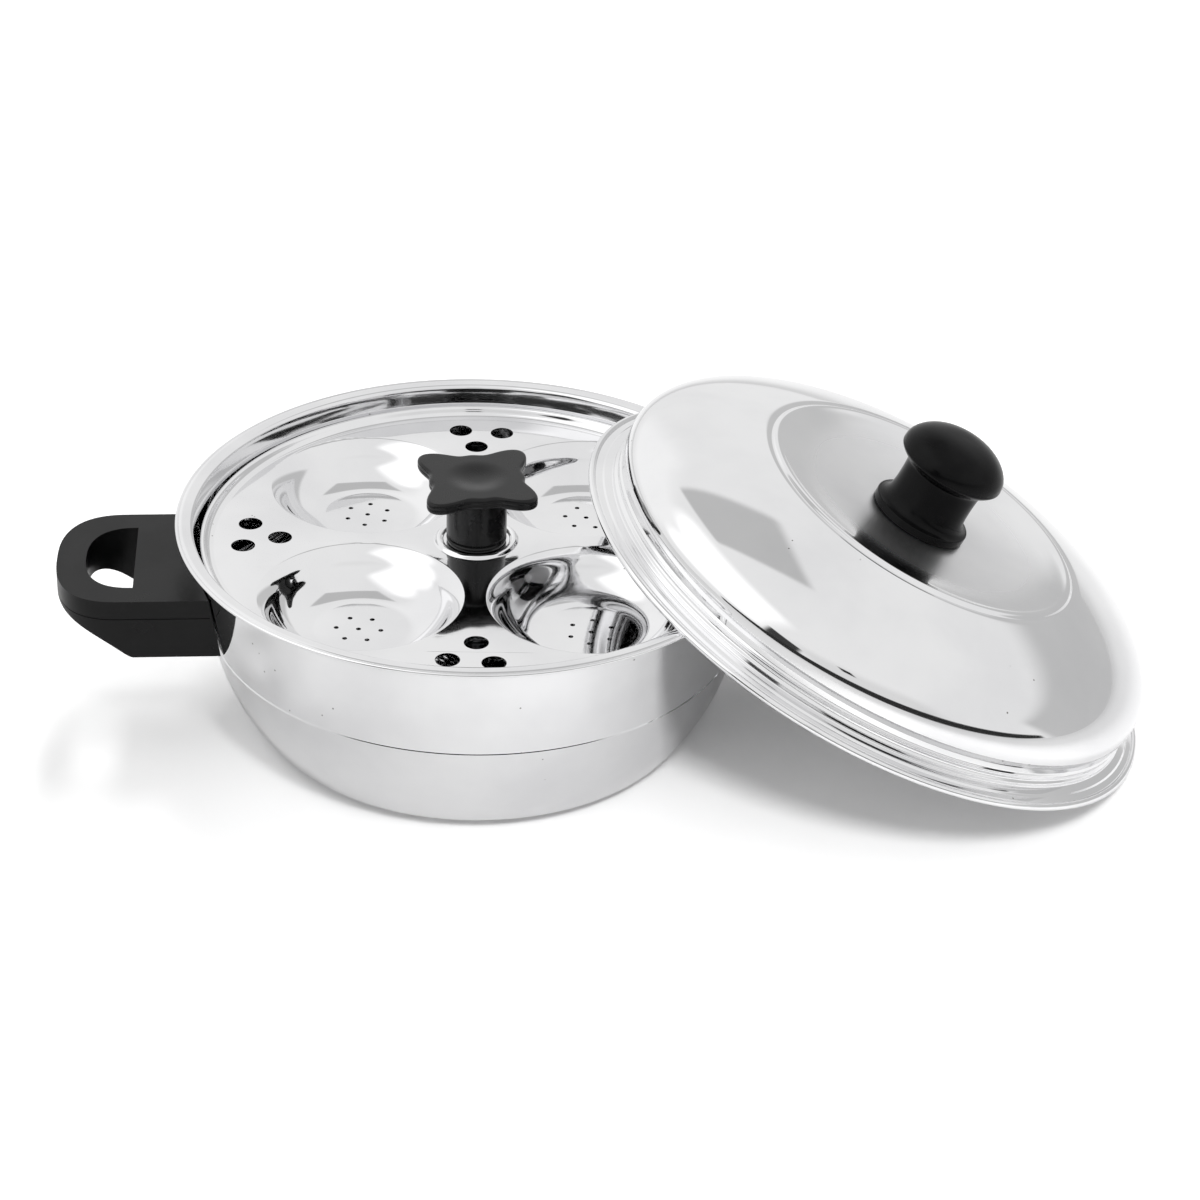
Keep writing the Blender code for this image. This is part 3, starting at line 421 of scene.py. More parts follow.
zincLook = {
    "dark": (0.50, 0.51, 0.53, 1.0),
    "light": (0.70, 0.71, 0.72, 1.0),
    "cloudScale": 180.0,
    "roughLow": 0.22,
    "roughHigh": 0.42,
    "grainScale": 1800.0,
    "grainHeight": 0.01 * mm,
    "grainStrength": 0.6,
}
brassLook = {
    "dark": (0.62, 0.45, 0.20, 1.0),
    "light": (0.80, 0.62, 0.32, 1.0),
    "cloudScale": 260.0,
    "roughLow": 0.25,
    "roughHigh": 0.45,
}
aluminiumLook = {
    "dark": (0.60, 0.60, 0.61, 1.0),
    "light": (0.76, 0.76, 0.77, 1.0),
    "ringScale": 1500.0,
    "roughLow": 0.35,
    "roughHigh": 0.55,
}


def makePlainMetal(name, look):
    made, n, surface = newMaterial(name)
    spot = n.objectSpot()
    if "ringScale" in look:
        marks = n.group(spinMarks, {"Vector": spot, "Ring Scale": look["ringScale"]})
        cloud, worn = marks["Patches"], marks["Rings"]
    else:
        cloud = worn = n.noise(spot, look["cloudScale"], detail=4.0, roughness=0.6)
    n.feed(n.mixColour(cloud, look["dark"], look["light"]), surface["Base Color"])
    n.feed(n.ramp(worn, *roughRange, look["roughLow"], look["roughHigh"]), surface["Roughness"])
    n.feed(1.0, surface["Metallic"])
    if "grainScale" in look:
        grain = n.noise(spot, look["grainScale"], detail=2.0, roughness=0.6)
        n.feed(n.bump(grain, look["grainHeight"], look["grainStrength"]), surface["Normal"])
    return made


bakeliteLook = {
    "deep": (0.0020, 0.0020, 0.0022, 1.0),
    "worn": (0.0050, 0.0050, 0.0052, 1.0),
    "dust": (0.06, 0.06, 0.06, 1.0),
    "dustShare": 0.5,
    "dustScale": 420.0,
    "dustSize": 0.05,
    "dustSpread": 0.66,
    "roughLow": 0.27,
    "roughHigh": 0.42,
    "grainHeight": 0.018 * mm,
    "grainStrength": 0.7,
    "shine": 0.22,
    "coat": 0.0,
    "coatRough": 0.12,
}


def makeBakelite(name, look):
    made, n, surface = newMaterial(name)
    spot = n.ownSpot()
    skin = n.group(mouldedGrain, {"Vector": spot})
    specks = n.group(dustSpecks, {"Vector": spot, "Scale": look["dustScale"], "Size": look["dustSize"],
                                  "Spread": look["dustSpread"]})["Specks"]
    tone = n.mixColour(n.ramp(skin["Cloud"], *toneRange), look["deep"], look["worn"])
    dusty = n.math("MULTIPLY", specks, look["dustShare"])
    n.feed(n.mixColour(dusty, tone, look["dust"]), surface["Base Color"])
    n.feed(n.ramp(skin["Cloud"], *roughRange, look["roughLow"], look["roughHigh"]), surface["Roughness"])
    n.feed(n.bump(skin["Grain"], look["grainHeight"], look["grainStrength"]), surface["Normal"])
    n.feed(look["shine"], surface["Specular IOR Level"])
    n.feed(look["coat"], surface["Coat Weight"])
    n.feed(look["coatRough"], surface["Coat Roughness"])
    return made


potSteel = makePolishedSteel("potSteel", polish, lowerShade=paintedLowerShade)
plateSteel = makePolishedSteel("plateSteel", dict(polish, waveScale=14.0))
lidSteel = makePolishedSteel("lidSteel", dict(polish, waveScale=11.0), satin=satinMiddle)
capSteel = makePolishedSteel("capSteel", polish, carried=True)
platedSteel = makePlainMetal("platedSteel", zincLook)
baseAluminium = makePlainMetal("baseAluminium", aluminiumLook)
insertBrass = makePlainMetal("insertBrass", brassLook)
handleBakelite = makeBakelite("handleBakelite", bakeliteLook)
starBakelite = makeBakelite("starBakelite", dict(bakeliteLook, roughLow=0.20, roughHigh=0.34, coat=0.15))
knobBakelite = makeBakelite("knobBakelite", dict(bakeliteLook, roughLow=0.16, roughHigh=0.28, shine=0.09))
print("materials made")

# Pan

pan = {
    "sheet": 1.0 * mm,
    "rimRadius": 120.0 * mm,
    "rimHeight": 91.3 * mm,
    "wallTop": 113.6 * mm,
    "wallTopDrop": 3.0 * mm,
    "bandDrop": 43.6 * mm,
    "bandRadius": 107.6 * mm,
    "ledge": 0.2 * mm,
    "ledgeRise": 0.6 * mm,
    "lowerTurn": 36.5,
    "corner": 8.0 * mm,
    "baseHeight": 3.0 * mm,
    # corners of the flange's underside: inset from the rim, drop below it, fillet
    "flange": ((5.9 * mm, 0.9 * mm, 0.9 * mm), (2.6 * mm, 0.5 * mm, 2.0 * mm), (1.7 * mm, 0.75 * mm, 0.0)),
    "hemRadius": 0.85 * mm,
    "hemDrop": 0.45 * mm,
    "hemArc": (-150.0, 128.0),
    "grooveInset": 1.62 * mm,
    "grooveRise": 0.12 * mm,
    "longestRun": 4.0 * mm,
    "guard": 0.12 * mm,
    "segments": 240,
}


def panPath():
    # the sheet's outer face, from the middle of the base up to the flange's underside
    p = pan
    bandHeight = p["rimHeight"] - p["bandDrop"]
    neck = (p["wallTop"], p["rimHeight"] - p["wallTopDrop"])
    lean = math.atan2(neck[0] - p["bandRadius"], neck[1] - bandHeight)
    turn = math.radians(p["lowerTurn"])
    cornerDrop = p["corner"] * (1 - math.sin(turn))
    sideRadius = (bandHeight - p["baseHeight"] - cornerDrop) / (math.sin(turn) - math.sin(lean))
    sideCentre = (p["bandRadius"] - sideRadius * math.cos(lean), bandHeight + sideRadius * math.sin(lean))
    cornerCentre = (sideCentre[0] + (sideRadius - p["corner"]) * math.cos(turn),
                    sideCentre[1] - (sideRadius - p["corner"]) * math.sin(turn))
    outside = [(0.0, p["baseHeight"])]
    outside += arcPath(cornerCentre, p["corner"], -90.0, -p["lowerTurn"])
    outside += arcPath(sideCentre, sideRadius, -p["lowerTurn"], -math.degrees(lean), stepDegrees=2.0)[1:]
    # the drawn line round the wall, a narrow ledge that looks slightly upwards
    low = outside[-1]
    outside.append((low[0] - p["ledge"], low[1] + p["ledgeRise"]))
    corners = [(p["rimRadius"] - inset, p["rimHeight"] - drop, fillet)
               for inset, drop, fillet in p["flange"]]
    return outside + filleted([neck] + corners)


def makePan():
    p = pan
    outside = guarded(subdivided(cleaned(panPath()), p["longestRun"]), p["guard"])
    inside = offsetPath(outside, -p["sheet"])
    inside[0] = (0.0, p["baseHeight"] + p["sheet"])
    hemCentre = (p["rimRadius"] - p["hemRadius"], p["rimHeight"] - p["hemDrop"])
    hem = arcPath(hemCentre, p["hemRadius"], *p["hemArc"], stepDegrees=10.0)
    groove = [(p["rimRadius"] - p["grooveInset"], p["rimHeight"] + p["grooveRise"])]
    piece = spunObject("panShell", cleaned(outside + hem + groove + inside[::-1]), p["segments"])
    settle(piece, Matrix())
    dress(piece, potSteel)
    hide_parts("kadai_body")
    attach(piece, "kadai")


# Plates

plate = {
    "sheet": 0.8 * mm,
    "turn": math.radians(-3.0),
    "rimWidth": 5.8 * mm,
    "rimRise": 3.4 * mm,
    # mouldings: share of the width inwards, share of the rise
    "rimShape": ((1.0, 0.0), (0.78, 0.0), (0.52, 0.22), (0.40, 0.78), (0.26, 1.02), (0.06, 0.98),
                 (0.0, 0.62)),
    "collarRadius": 17.2 * mm,
    "collarWidth": 4.2 * mm,
    "collarRise": 1.5 * mm,
    "collarShape": ((0.0, 0.0), (0.12, 0.05), (0.26, 0.85), (0.50, 1.12), (0.74, 0.85), (0.88, 0.05),
                    (1.0, 0.0)),
    "cups": 4,
    "cupDepth": 15.0 * mm,
    "mouthSlope": 26.0,
    "cupSlope": 59.0,
    "mouthBend": 15.0 * mm,
    "drainRadius": 1.0 * mm,
    "drainRing": 6,
    "drainCircle": 8.8 * mm,
    "drainTurn": math.radians(9.4),
    "drainOffset": 1.2 * mm,
    "steamRadius": 4.8 * mm,
    # steam holes: inset from the plate's edge, angle from the middle between two cups
    "steamHoles": ((17.2 * mm, 4.6), (18.7 * mm, -6.3), (31.8 * mm, 0.5)),
    "bore": 4.4 * mm,
    "merge": 0.01 * mm,
    "sharpAngle": 42.0,
}
upperPlate = {
    "height": 80.2 * mm,
    "radius": 110.58 * mm,
    "cup": 40.89 * mm,
    "cupCircle": 63.29 * mm,
    "rimCount": 240,
    "cupCount": 120,
}
lowerPlate = {
    "height": upperPlate["height"] - 38.2 * mm,
    "radius": 105.04 * mm,
    "cup": 39.22 * mm,
    "cupCircle": 59.42 * mm,
    "rimCount": 160,
    "cupCount": 64,
}
collarCount, boreCount, steamCount, drainCount = 64, 32, 36, 20


def addFlat(mesh, outlines, height):
    # a filled outline with holes, laid into a mesh at a height
    curve = bpy.data.curves.new("flat", "CURVE")
    curve.dimensions = "2D"
    curve.fill_mode = "FRONT"
    for outline in outlines:
        spline = curve.splines.new("POLY")
        spline.points.add(len(outline) - 1)
        for point, (x, y) in zip(spline.points, outline):
            point.co = (x, y, 0.0, 1.0)
        spline.use_cyclic_u = True
    holder = bpy.data.objects.new("flat", curve)
    scene.collection.objects.link(holder)
    bpy.context.view_layer.update()
    data = bpy.data.meshes.new_from_object(holder.evaluated_get(bpy.context.evaluated_depsgraph_get()))
    start = len(mesh.verts)
    mesh.from_mesh(data)
    mesh.verts.ensure_lookup_table()
    for vertex in mesh.verts[start:]:
        vertex.co.z = height
    bpy.data.objects.remove(holder)
    bpy.data.curves.remove(curve)


def addSpun(mesh, centre, path, count, turn=0.0):
    # a (radius, height) path turned about a centre, laid into a mesh
    rings = [[mesh.verts.new((x, y, height)) for x, y in ringOf(centre, radius, count, turn)]
             for radius, height in path]
    for upper, lower in zip(rings, rings[1:]):
        bridge(mesh, upper, lower)


def cupPath(radius):
    # a cup's face from the flat over a soft shoulder to its steepest line, then round to its floor
    depth, shoulder = plate["cupDepth"], plate["mouthBend"]
    first, steepest = math.radians(plate["mouthSlope"]), math.radians(plate["cupSlope"])
    drop = shoulder * (math.cos(first) - math.cos(steepest))
    run = shoulder * (math.sin(steepest) - math.sin(first))
    bowl = (depth - drop) / (1 - math.cos(steepest))
    shoulderCentre = (radius + shoulder * math.sin(first), -shoulder * math.cos(first))
    bowlCentre = (radius - run - bowl * math.sin(steepest), bowl - depth)
    over = arcPath(shoulderCentre, shoulder, 90.0 + plate["mouthSlope"], 90.0 + plate["cupSlope"],
                   stepDegrees=3.0)
    return over + arcPath(bowlCentre, bowl, plate["cupSlope"] - 90.0, -90.0, stepDegrees=3.0)[1:]


def pressed(outer, width, rise, shape):
    return smoothPath([(outer - inset * width, share * rise) for inset, share in shape], perSpan=5)


def onCircle(radius, angle):
    return (radius * math.cos(angle), radius * math.sin(angle))


def makePlate(name, node, size):
    p = plate
    middle = (0.0, 0.0)
    mesh = bmesh.new()
    rim = pressed(size["radius"], p["rimWidth"], p["rimRise"], p["rimShape"])
    collar = pressed(p["collarRadius"], p["collarWidth"], p["collarRise"], p["collarShape"])
    addSpun(mesh, middle, rim, size["rimCount"])
    addSpun(mesh, middle, collar, collarCount)
    flats = [ringOf(middle, rim[0][0], size["rimCount"]), ringOf(middle, collar[0][0], collarCount)]
    addFlat(mesh, [ringOf(middle, collar[-1][0], collarCount), ringOf(middle, p["bore"], boreCount)], 0.0)
    cup = cupPath(size["cup"])
    for k in range(p["cups"]):
        gapAngle = math.tau * k / p["cups"]
        for inset, offset in p["steamHoles"]:
            hole = onCircle(size["radius"] - inset, gapAngle + math.radians(offset))
            flats.append(ringOf(hole, p["steamRadius"], steamCount))
        cupAngle = gapAngle + math.pi / p["cups"]
        centre = onCircle(size["cupCircle"], cupAngle)
        flats.append(ringOf(centre, size["cup"], size["cupCount"], cupAngle))
        addSpun(mesh, centre, cup, size["cupCount"], cupAngle)
        drainMiddle = onCircle(size["cupCircle"] + p["drainOffset"], cupAngle)
        drains = ringOf(drainMiddle, p["drainCircle"], p["drainRing"], cupAngle + p["drainTurn"])
        floor = [ringOf(centre, cup[-1][0], size["cupCount"], cupAngle)]
        floor += [ringOf(spot, p["drainRadius"], drainCount, cupAngle) for spot in [drainMiddle] + drains]
        addFlat(mesh, floor, -p["cupDepth"])
    addFlat(mesh, flats, 0.0)
    bmesh.ops.remove_doubles(mesh, verts=mesh.verts, dist=p["merge"])
    bmesh.ops.recalc_face_normals(mesh, faces=mesh.faces)
    if sum(face.normal.z * face.calc_area() for face in mesh.faces) < 0:
        bmesh.ops.reverse_faces(mesh, faces=mesh.faces)
    piece = meshObject(name, mesh)
    solidify = piece.modifiers.new("Sheet", "SOLIDIFY")
    solidify.thickness = p["sheet"]
    solidify.offset = -1.0
    solidify.use_even_offset = True
    applyModifiers(piece)
    evenShading(piece, p["sharpAngle"])
    settle(piece, Matrix.Translation((0.0, 0.0, size["height"])) @ Matrix.Rotation(p["turn"], 4, "Z"))
    dress(piece, plateSteel)
    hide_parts(node)
    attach(piece, "stack")


# Lid

lid = {
    "sheet": 0.8 * mm,
    "radius": 127.2 * mm,
    "beadRadius": 1.45 * mm,
    "beadDrop": 0.35 * mm,
    "beadArc": (140.0, -150.0),
    "hole": 2.6 * mm,
    "centreHeight": 41.96 * mm,
    # the dished middle: radius, rise above its centre
    "dish": ((23.6 * mm, 0.0), (30.0 * mm, 0.1 * mm), (38.0 * mm, 0.9 * mm), (46.0 * mm, 1.9 * mm),
             (54.0 * mm, 3.2 * mm), (60.0 * mm, 4.2 * mm)),
    "ringRadius": 68.4 * mm,
    "ringHeight": 47.16 * mm,
    # the raised ring: offset from its radius and from its height
    "ring": ((-4.0 * mm, -0.45 * mm), (-2.6 * mm, 0.05 * mm), (-1.2 * mm, 0.05 * mm),
             (-0.3 * mm, -0.25 * mm), (0.3 * mm, -0.95 * mm), (1.0 * mm, -1.10 * mm),
             (2.0 * mm, -0.95 * mm)),
    # where the ring runs out into the dome, and where the dome's own arc starts
    "ringEnd": (3.2 * mm, 5.0 * mm),
    "domeStart": 6.0 * mm,
    "widest": 118.4 * mm,
    "widestHeight": 17.0 * mm,
    "domeRise": 36.7 * mm,
    "domeSteps": 52,
    # corners of the moulded edge: radius, height, fillet
    "edge": ((118.3 * mm, 14.2 * mm, 1.5 * mm), (117.2 * mm, 11.2 * mm, 0.6 * mm),
             (117.0 * mm, 8.8 * mm, 0.6 * mm), (117.7 * mm, 7.9 * mm, 0.5 * mm),
             (117.1 * mm, 6.6 * mm, 0.7 * mm), (117.1 * mm, 5.4 * mm, 0.7 * mm),
             (118.2 * mm, 4.5 * mm, 0.6 * mm), (117.9 * mm, 2.7 * mm, 0.7 * mm),
             (121.2 * mm, 1.9 * mm, 0.7 * mm), (121.9 * mm, 1.25 * mm, 0.4 * mm),
             (124.2 * mm, 0.80 * mm, 0.4 * mm), (124.6 * mm, 0.45 * mm)),
    "longestRun": 3.0 * mm,
    "guard": 0.3 * mm,
    "insideOff": 0.02 * mm,
    "segments": 320,
}


def domeHeight(radius):
    return lid["widestHeight"] + lid["domeRise"] * math.sqrt(1 - (radius / lid["widest"]) ** 2)


def lidPath():
    # the outer face, from the screw hole across the dished middle and down to the bead
    p = lid
    ringRadius, ringHeight = p["ringRadius"], p["ringHeight"]
    controls = [(radius, p["centreHeight"] + rise) for radius, rise in p["dish"]]
    controls += [(ringRadius + outwards, ringHeight + rise) for outwards, rise in p["ring"]]
    controls += [(ringRadius + outwards, domeHeight(ringRadius + outwards)) for outwards in p["ringEnd"]]
    start = math.asin((ringRadius + p["domeStart"]) / p["widest"])
    dome = []
    for k in range(p["domeSteps"] + 1):
        angle = start + (math.pi / 2 - start) * k / p["domeSteps"]
        dome.append((p["widest"] * math.sin(angle), p["widestHeight"] + p["domeRise"] * math.cos(angle)))
    edge = filleted([dome[-1], *p["edge"]], stepDegrees=14.0)
    return [(p["hole"], p["centreHeight"])] + smoothPath(controls, perSpan=5) + dome + edge[1:]


def makeLid(pose):
    p = lid
    outside = guarded(subdivided(cleaned(lidPath()), p["longestRun"]), p["guard"])
    beadCentre = (p["radius"] - p["beadRadius"], -p["beadDrop"])
    bead = arcPath(beadCentre, p["beadRadius"], *p["beadArc"], stepDegrees=10.0)
    inside = thinned(offsetPath(outside, p["sheet"])[::-1], p["insideOff"])
    inside[-1] = (p["hole"], p["centreHeight"] - p["sheet"])
    piece = spunObject("lidShell", cleaned(outside + bead + inside), p["segments"], closed=True)
    settle(piece, pose)
    dress(piece, lidSteel)
    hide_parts("lid_shell")
    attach(piece, "lid")


def lidPose():
    # the lid's own frame: its axis runs through the middles of the shell and the knob
    low = centreOf(nodes["lid_shell"])
    high = centreOf(nodes["lid_knob"])
    axis = (high - low).normalized()
    made = Vector((0.0, 0.0, 1.0)).rotation_difference(axis).to_matrix().to_4x4()
    top = max((vertex.co - low).dot(axis) for vertex in nodes["lid_knob"].data.vertices)
    made.translation = low + axis * (top - lid["centreHeight"] - lidKnob["gap"] - lidKnob["height"])
    return made


def centreOf(piece):
    # middle of a piece's surface, each face counted by its area
    total, middle = 0.0, Vector()
    for face in piece.data.polygons:
        total += face.area
        middle += face.center * face.area
    return middle / total


# Lid knob

lidKnob = {
    "gap": 0.3 * mm,
    "flange": 20.4 * mm,
    "flangeHeight": 3.4 * mm,
    "flangeFillet": 0.9 * mm,
    "footFillet": 0.5 * mm,
    "head": 22.2 * mm,
    "widest": 27.3 * mm,
    "height": 39.6 * mm,
    # the crown: share of the head's radius, share of the drop to its widest line
    "crown": ((0.0, 0.0), (0.25, 0.0), (0.55, 0.10), (0.82, 0.36), (0.985, 0.72), (1.0, 1.0)),
    # under the head, down the neck and onto the flange: radius, height above the foot
    "side": ((22.2 * mm, 26.4 * mm), (21.09 * mm, 25.1 * mm), (19.536 * mm, 23.9 * mm),
             (18.3 * mm, 23.3 * mm), (16.7 * mm, 22.0 * mm), (16.3 * mm, 18.2 * mm),
             (16.2 * mm, 10.44 * mm), (16.6 * mm, 6.4 * mm), (17.9 * mm, 4.2 * mm),
             (19.5 * mm, 3.5 * mm)),
    "bore": 4.3 * mm,
    "boreDepth": 15.6 * mm,
    "segments": 128,
    "sharpAngle": 50.0,
}


def makeLidKnob(pose):
    k = lidKnob
    foot = lid["centreHeight"] + k["gap"]
    flangeTop, boreTop = foot + k["flangeHeight"], foot + k["boreDepth"]
    drop = k["height"] - k["widest"]
    crown = [(share * k["head"], foot + k["height"] - fall * drop) for share, fall in k["crown"]]
    skin = smoothPath(crown + [(radius, foot + height) for radius, height in k["side"]])
    base = filleted([
        skin[-1],
        (k["flange"], flangeTop, k["flangeFillet"]),
        (k["flange"], foot, k["footFillet"]),
        (k["bore"], foot),
        (k["bore"], boreTop),
        (0.0, boreTop),
    ])
    piece = spunObject("lidKnobBody", cleaned(skin[:-1] + base), k["segments"])
    evenShading(piece, k["sharpAngle"])
    settle(piece, pose)
    dress(piece, knobBakelite)
    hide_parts("lid_knob")
    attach(piece, "lid")


# Star knob

star = {
    "foot": upperPlate["height"] + 0.3 * mm,
    "top": pan["rimHeight"] + 17.7 * mm,
    "thickness": 4.8 * mm,
    "mean": 22.6 * mm,
    "swing": 5.0 * mm,
    "sharpness": 1.6 * mm,
    "turn": math.radians(49.6),
    "neck": 12.1 * mm,
    "flare": 1.6 * mm,
    "flareDrop": 0.5 * mm,
    "neckDrop": 0.6 * mm,
    "neckFillet": 1.2 * mm,
    "grooveDepth": 0.5 * mm,
    "grooveHeights": (1.4 * mm, 1.9 * mm, 2.7 * mm, 3.2 * mm),
    "grooveFillet": 0.15 * mm,
    "footInset": 0.2 * mm,
    "footFillet": 0.3 * mm,
    "edge": 1.5 * mm,
    "dish": 13.0 * mm,
    "dishDepth": 1.5 * mm,
    "dishSteps": 12,
    "dishPower": 1.3,
    # where the top and the underside have rings: share of the way out from the dish, or the neck
    "topShares": (0.12, 0.3, 0.5, 0.7, 0.86, 1.0),
    "underShares": (0.8, 0.5, 0.2),
    "seamDepth": 0.25 * mm,
    "seamHalf": 0.28 * mm,
    "bore": 6.3 * mm,
    "boreDepth": 16.6 * mm,
    "longestRun": 3.0 * mm,
    "count": 192,
    "sharpAngle": 50.0,
}


def starRadius(angle):
    return star["mean"] + star["swing"] * math.cos(4 * angle) + star["sharpness"] * math.cos(8 * angle)


def starSide(top, base):
    # (height, inset) pairs down the edge, rounded above and below, with the mould's seam at its middle
    edge, seam = star["edge"], star["seamHalf"]
    middle = (top + base) / 2
    steps = [math.radians(15 * k) for k in range(7)]
    side = [(top - edge * (1 - math.cos(a)), edge * (1 - math.sin(a))) for a in steps[1:]]
    side += [(middle + seam, 0.0), (middle, star["seamDepth"]), (middle - seam, 0.0)]
    side += [(base + edge * (1 - math.sin(a)), edge * (1 - math.cos(a))) for a in steps]
    return side


def starNeck(base):
    # down the neck with its groove, and up the bore
    s = star
    neck, foot, groove = s["neck"], s["foot"], s["grooveDepth"]
    heights, fillet = s["grooveHeights"], s["grooveFillet"]
    return subdivided(cleaned(filleted([
        (neck + s["flare"], base - s["flareDrop"]),
        (neck, base - s["neckDrop"], s["neckFillet"]),
        (neck, foot + heights[3], fillet),
        (neck - groove, foot + heights[2], fillet),
        (neck - groove, foot + heights[1], fillet),
        (neck, foot + heights[0], fillet),
        (neck - s["footInset"], foot, s["footFillet"]),
        (s["bore"], foot),
        (s["bore"], foot + s["boreDepth"]),
    ])), s["longestRun"])


def makeStarKnob():
    # one skin of rings: across the dished top, round the edge with its seam, under to the neck and down
    s = star
    top, base = s["top"], s["top"] - s["thickness"]
    mesh = bmesh.new()
    rings = []

    def addRing(height, radiusAt):
        angles = [math.tau * k / s["count"] for k in range(s["count"])]
        rings.append([mesh.verts.new((*onCircle(radiusAt(a), a), height)) for a in angles])

    def addBlend(height, radius, share=0.0):
        # between a circle and the star's inset outline
        addRing(height, lambda a: radius + (starRadius(a) - s["edge"] - radius) * share)

    for k in range(1, s["dishSteps"] + 1):
        share = k / s["dishSteps"]
        swell = 0.5 - 0.5 * math.cos(math.pi * share)
        addBlend(top - s["dishDepth"] * (1 - swell ** s["dishPower"]), s["dish"] * share)
    for share in s["topShares"]:
        addBlend(top, s["dish"], share)
    for height, inset in starSide(top, base):
        addRing(height, lambda a: starRadius(a) - inset)
    for share in s["underShares"]:
        addBlend(base - (1 - share) * s["flareDrop"], s["neck"] + s["flare"], share)
    for radius, height in starNeck(base):
        addBlend(height, radius)
    for upper, lower in zip(rings, rings[1:]):
        bridge(mesh, upper, lower)
    bridge(mesh, [mesh.verts.new((0.0, 0.0, top - s["dishDepth"]))], rings[0])
    bridge(mesh, rings[-1], [mesh.verts.new((0.0, 0.0, s["foot"] + s["boreDepth"]))])
    bmesh.ops.recalc_face_normals(mesh, faces=mesh.faces)
    piece = meshObject("starKnobBody", mesh)
    evenShading(piece, s["sharpAngle"])
    settle(piece, Matrix.Rotation(s["turn"], 4, "Z"))
    dress(piece, starBakelite)
    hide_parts("star_knob")
    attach(piece, "star_knob")


# Handles

handle = {
    "top": pan["rimHeight"] - 17.5 * mm,
    "thickness": 25.5 * mm,
    "halfWidth": 34.8 * mm,
    "reach": 167.4 * mm,
    "rootDepth": 18.0 * mm,
    "bendStart": 140.0 * mm,
    "fullness": 2.6,
    "loopStart": 136.3 * mm,
    "loopEnd": 155.9 * mm,
    "loopHalfWidth": 23.8 * mm,
    "loopFullness": 2.5,
    "taperStart": 136.5 * mm,
    "tipThickness": 8.6 * mm,
    # the tapered underside: share of its length, share of its rise
    "taper": ((0.0, 0.0), (0.06, 0.02), (0.22, 0.27), (0.45, 0.56), (0.72, 0.80), (1.0, 1.0)),
    "seamDrop": 8.0 * mm,
    "seamStart": 106.0 * mm,
    "seam": 0.35 * mm,
    "edge": 1.7 * mm,
    "edgeSteps": 4,
    "sharpAngle": 40.0,
    "wallGap": 0.35 * mm,
    "recessRadius": 5.2 * mm,
    "recessDepth": 5.0 * mm,
    "recessFront": 6.0 * mm,
    "outlineCount": 49,
    "loopCount": 33,
    # how far the cutters reach beyond what they cut
    "spare": 9.0 * mm,
    "spareTip": 4.0 * mm,
    "loopSpare": 5.0 * mm,
    "cutterHalf": 60.0 * mm,
}


def bowed(start, reach, halfWidth, fullness, count):
    # a D-shaped outline, fuller than an ellipse
    outline = []
    for k in range(count):
        angle = math.pi / 2 - math.pi * k / (count - 1)
        across = abs(math.sin(angle)) ** (2 / fullness)
        along = max(math.cos(angle), 0.0) ** (2 / fullness)
        outline.append((start + (reach - start) * along, math.copysign(halfWidth * across, angle)))
    return outline


def handleOutline(start, outset):
    h = handle
    width, reach = h["halfWidth"] + outset, h["reach"] + outset
    bow = bowed(h["bendStart"], reach, width, h["fullness"], h["outlineCount"])
    return [(start, width)] + bow + [(start, -width)]


def prism(name, outline, low, high):
    # an upright prism over an outline
    mesh = bmesh.new()
    bottom = [mesh.verts.new((x, y, low)) for x, y in outline]
    top = [mesh.verts.new((x, y, high)) for x, y in outline]
    mesh.faces.new(bottom)
    mesh.faces.new(top)
    for k in range(len(outline)):
        j = (k + 1) % len(outline)
        mesh.faces.new((bottom[k], bottom[j], top[j], top[k]))
    bmesh.ops.recalc_face_normals(mesh, faces=mesh.faces)
    return meshObject(name, mesh)


def rod(name, radius, x0, x1, height, count=40):
    # a cylinder along X
    mesh = bmesh.new()
    bmesh.ops.create_cone(mesh, cap_ends=True, segments=count, radius1=radius, radius2=radius, depth=x1 - x0)
    turn = Matrix.Translation(((x0 + x1) / 2, 0.0, height)) @ Matrix.Rotation(math.pi / 2, 4, "Y")
    bmesh.ops.transform(mesh, matrix=turn, verts=mesh.verts)
    return meshObject(name, mesh)


def wallRadius(height):
    # the pan's straight upper wall, carried on above and below
    low = pan["rimHeight"] - pan["bandDrop"]
    share = (height - low) / (pan["bandDrop"] - pan["wallTopDrop"])
    return pan["bandRadius"] + (pan["wallTop"] - pan["bandRadius"]) * share


def underCutter(base):
    # what the tapered underside leaves away, across the handle
    h = handle
    span, rise = h["reach"] - h["taperStart"], h["thickness"] - h["tipThickness"]
    far, low = h["reach"] + h["spare"], base - h["spare"]
    controls = [(h["taperStart"] + along * span, base + up * rise) for along, up in h["taper"]]
    curve = smoothPath(controls, perSpan=5)
    outline = [(h["taperStart"], low)] + curve + [(far, base + rise + h["spareTip"]), (far, low)]
    cutter = prism("under", outline, -h["cutterHalf"], h["cutterHalf"])
    cutter.data.transform(Matrix.Rotation(math.pi / 2, 4, "X"))
    return cutter


def wallCutter(low, high):
    # the pan's wall with a gap to the handle
    gap = handle["wallGap"]
    outline = [(0.0, high), (wallRadius(high) + gap, high), (wallRadius(low) + gap, low), (0.0, low)]
    return spunObject("wall", outline, pan["segments"])


def seamCutter(height):
    # a thin frame that scores the mould's parting line round the handle's outside
    h = handle
    start, seam = h["seamStart"], h["seam"]
    cutter = prism("seam", handleOutline(start, h["loopSpare"]), height - seam / 2, height + seam / 2)
    core = prism("seamCore", handleOutline(start, -seam), height - 2 * seam, height + 2 * seam)
    combine(cutter, core, "DIFFERENCE")
    return cutter


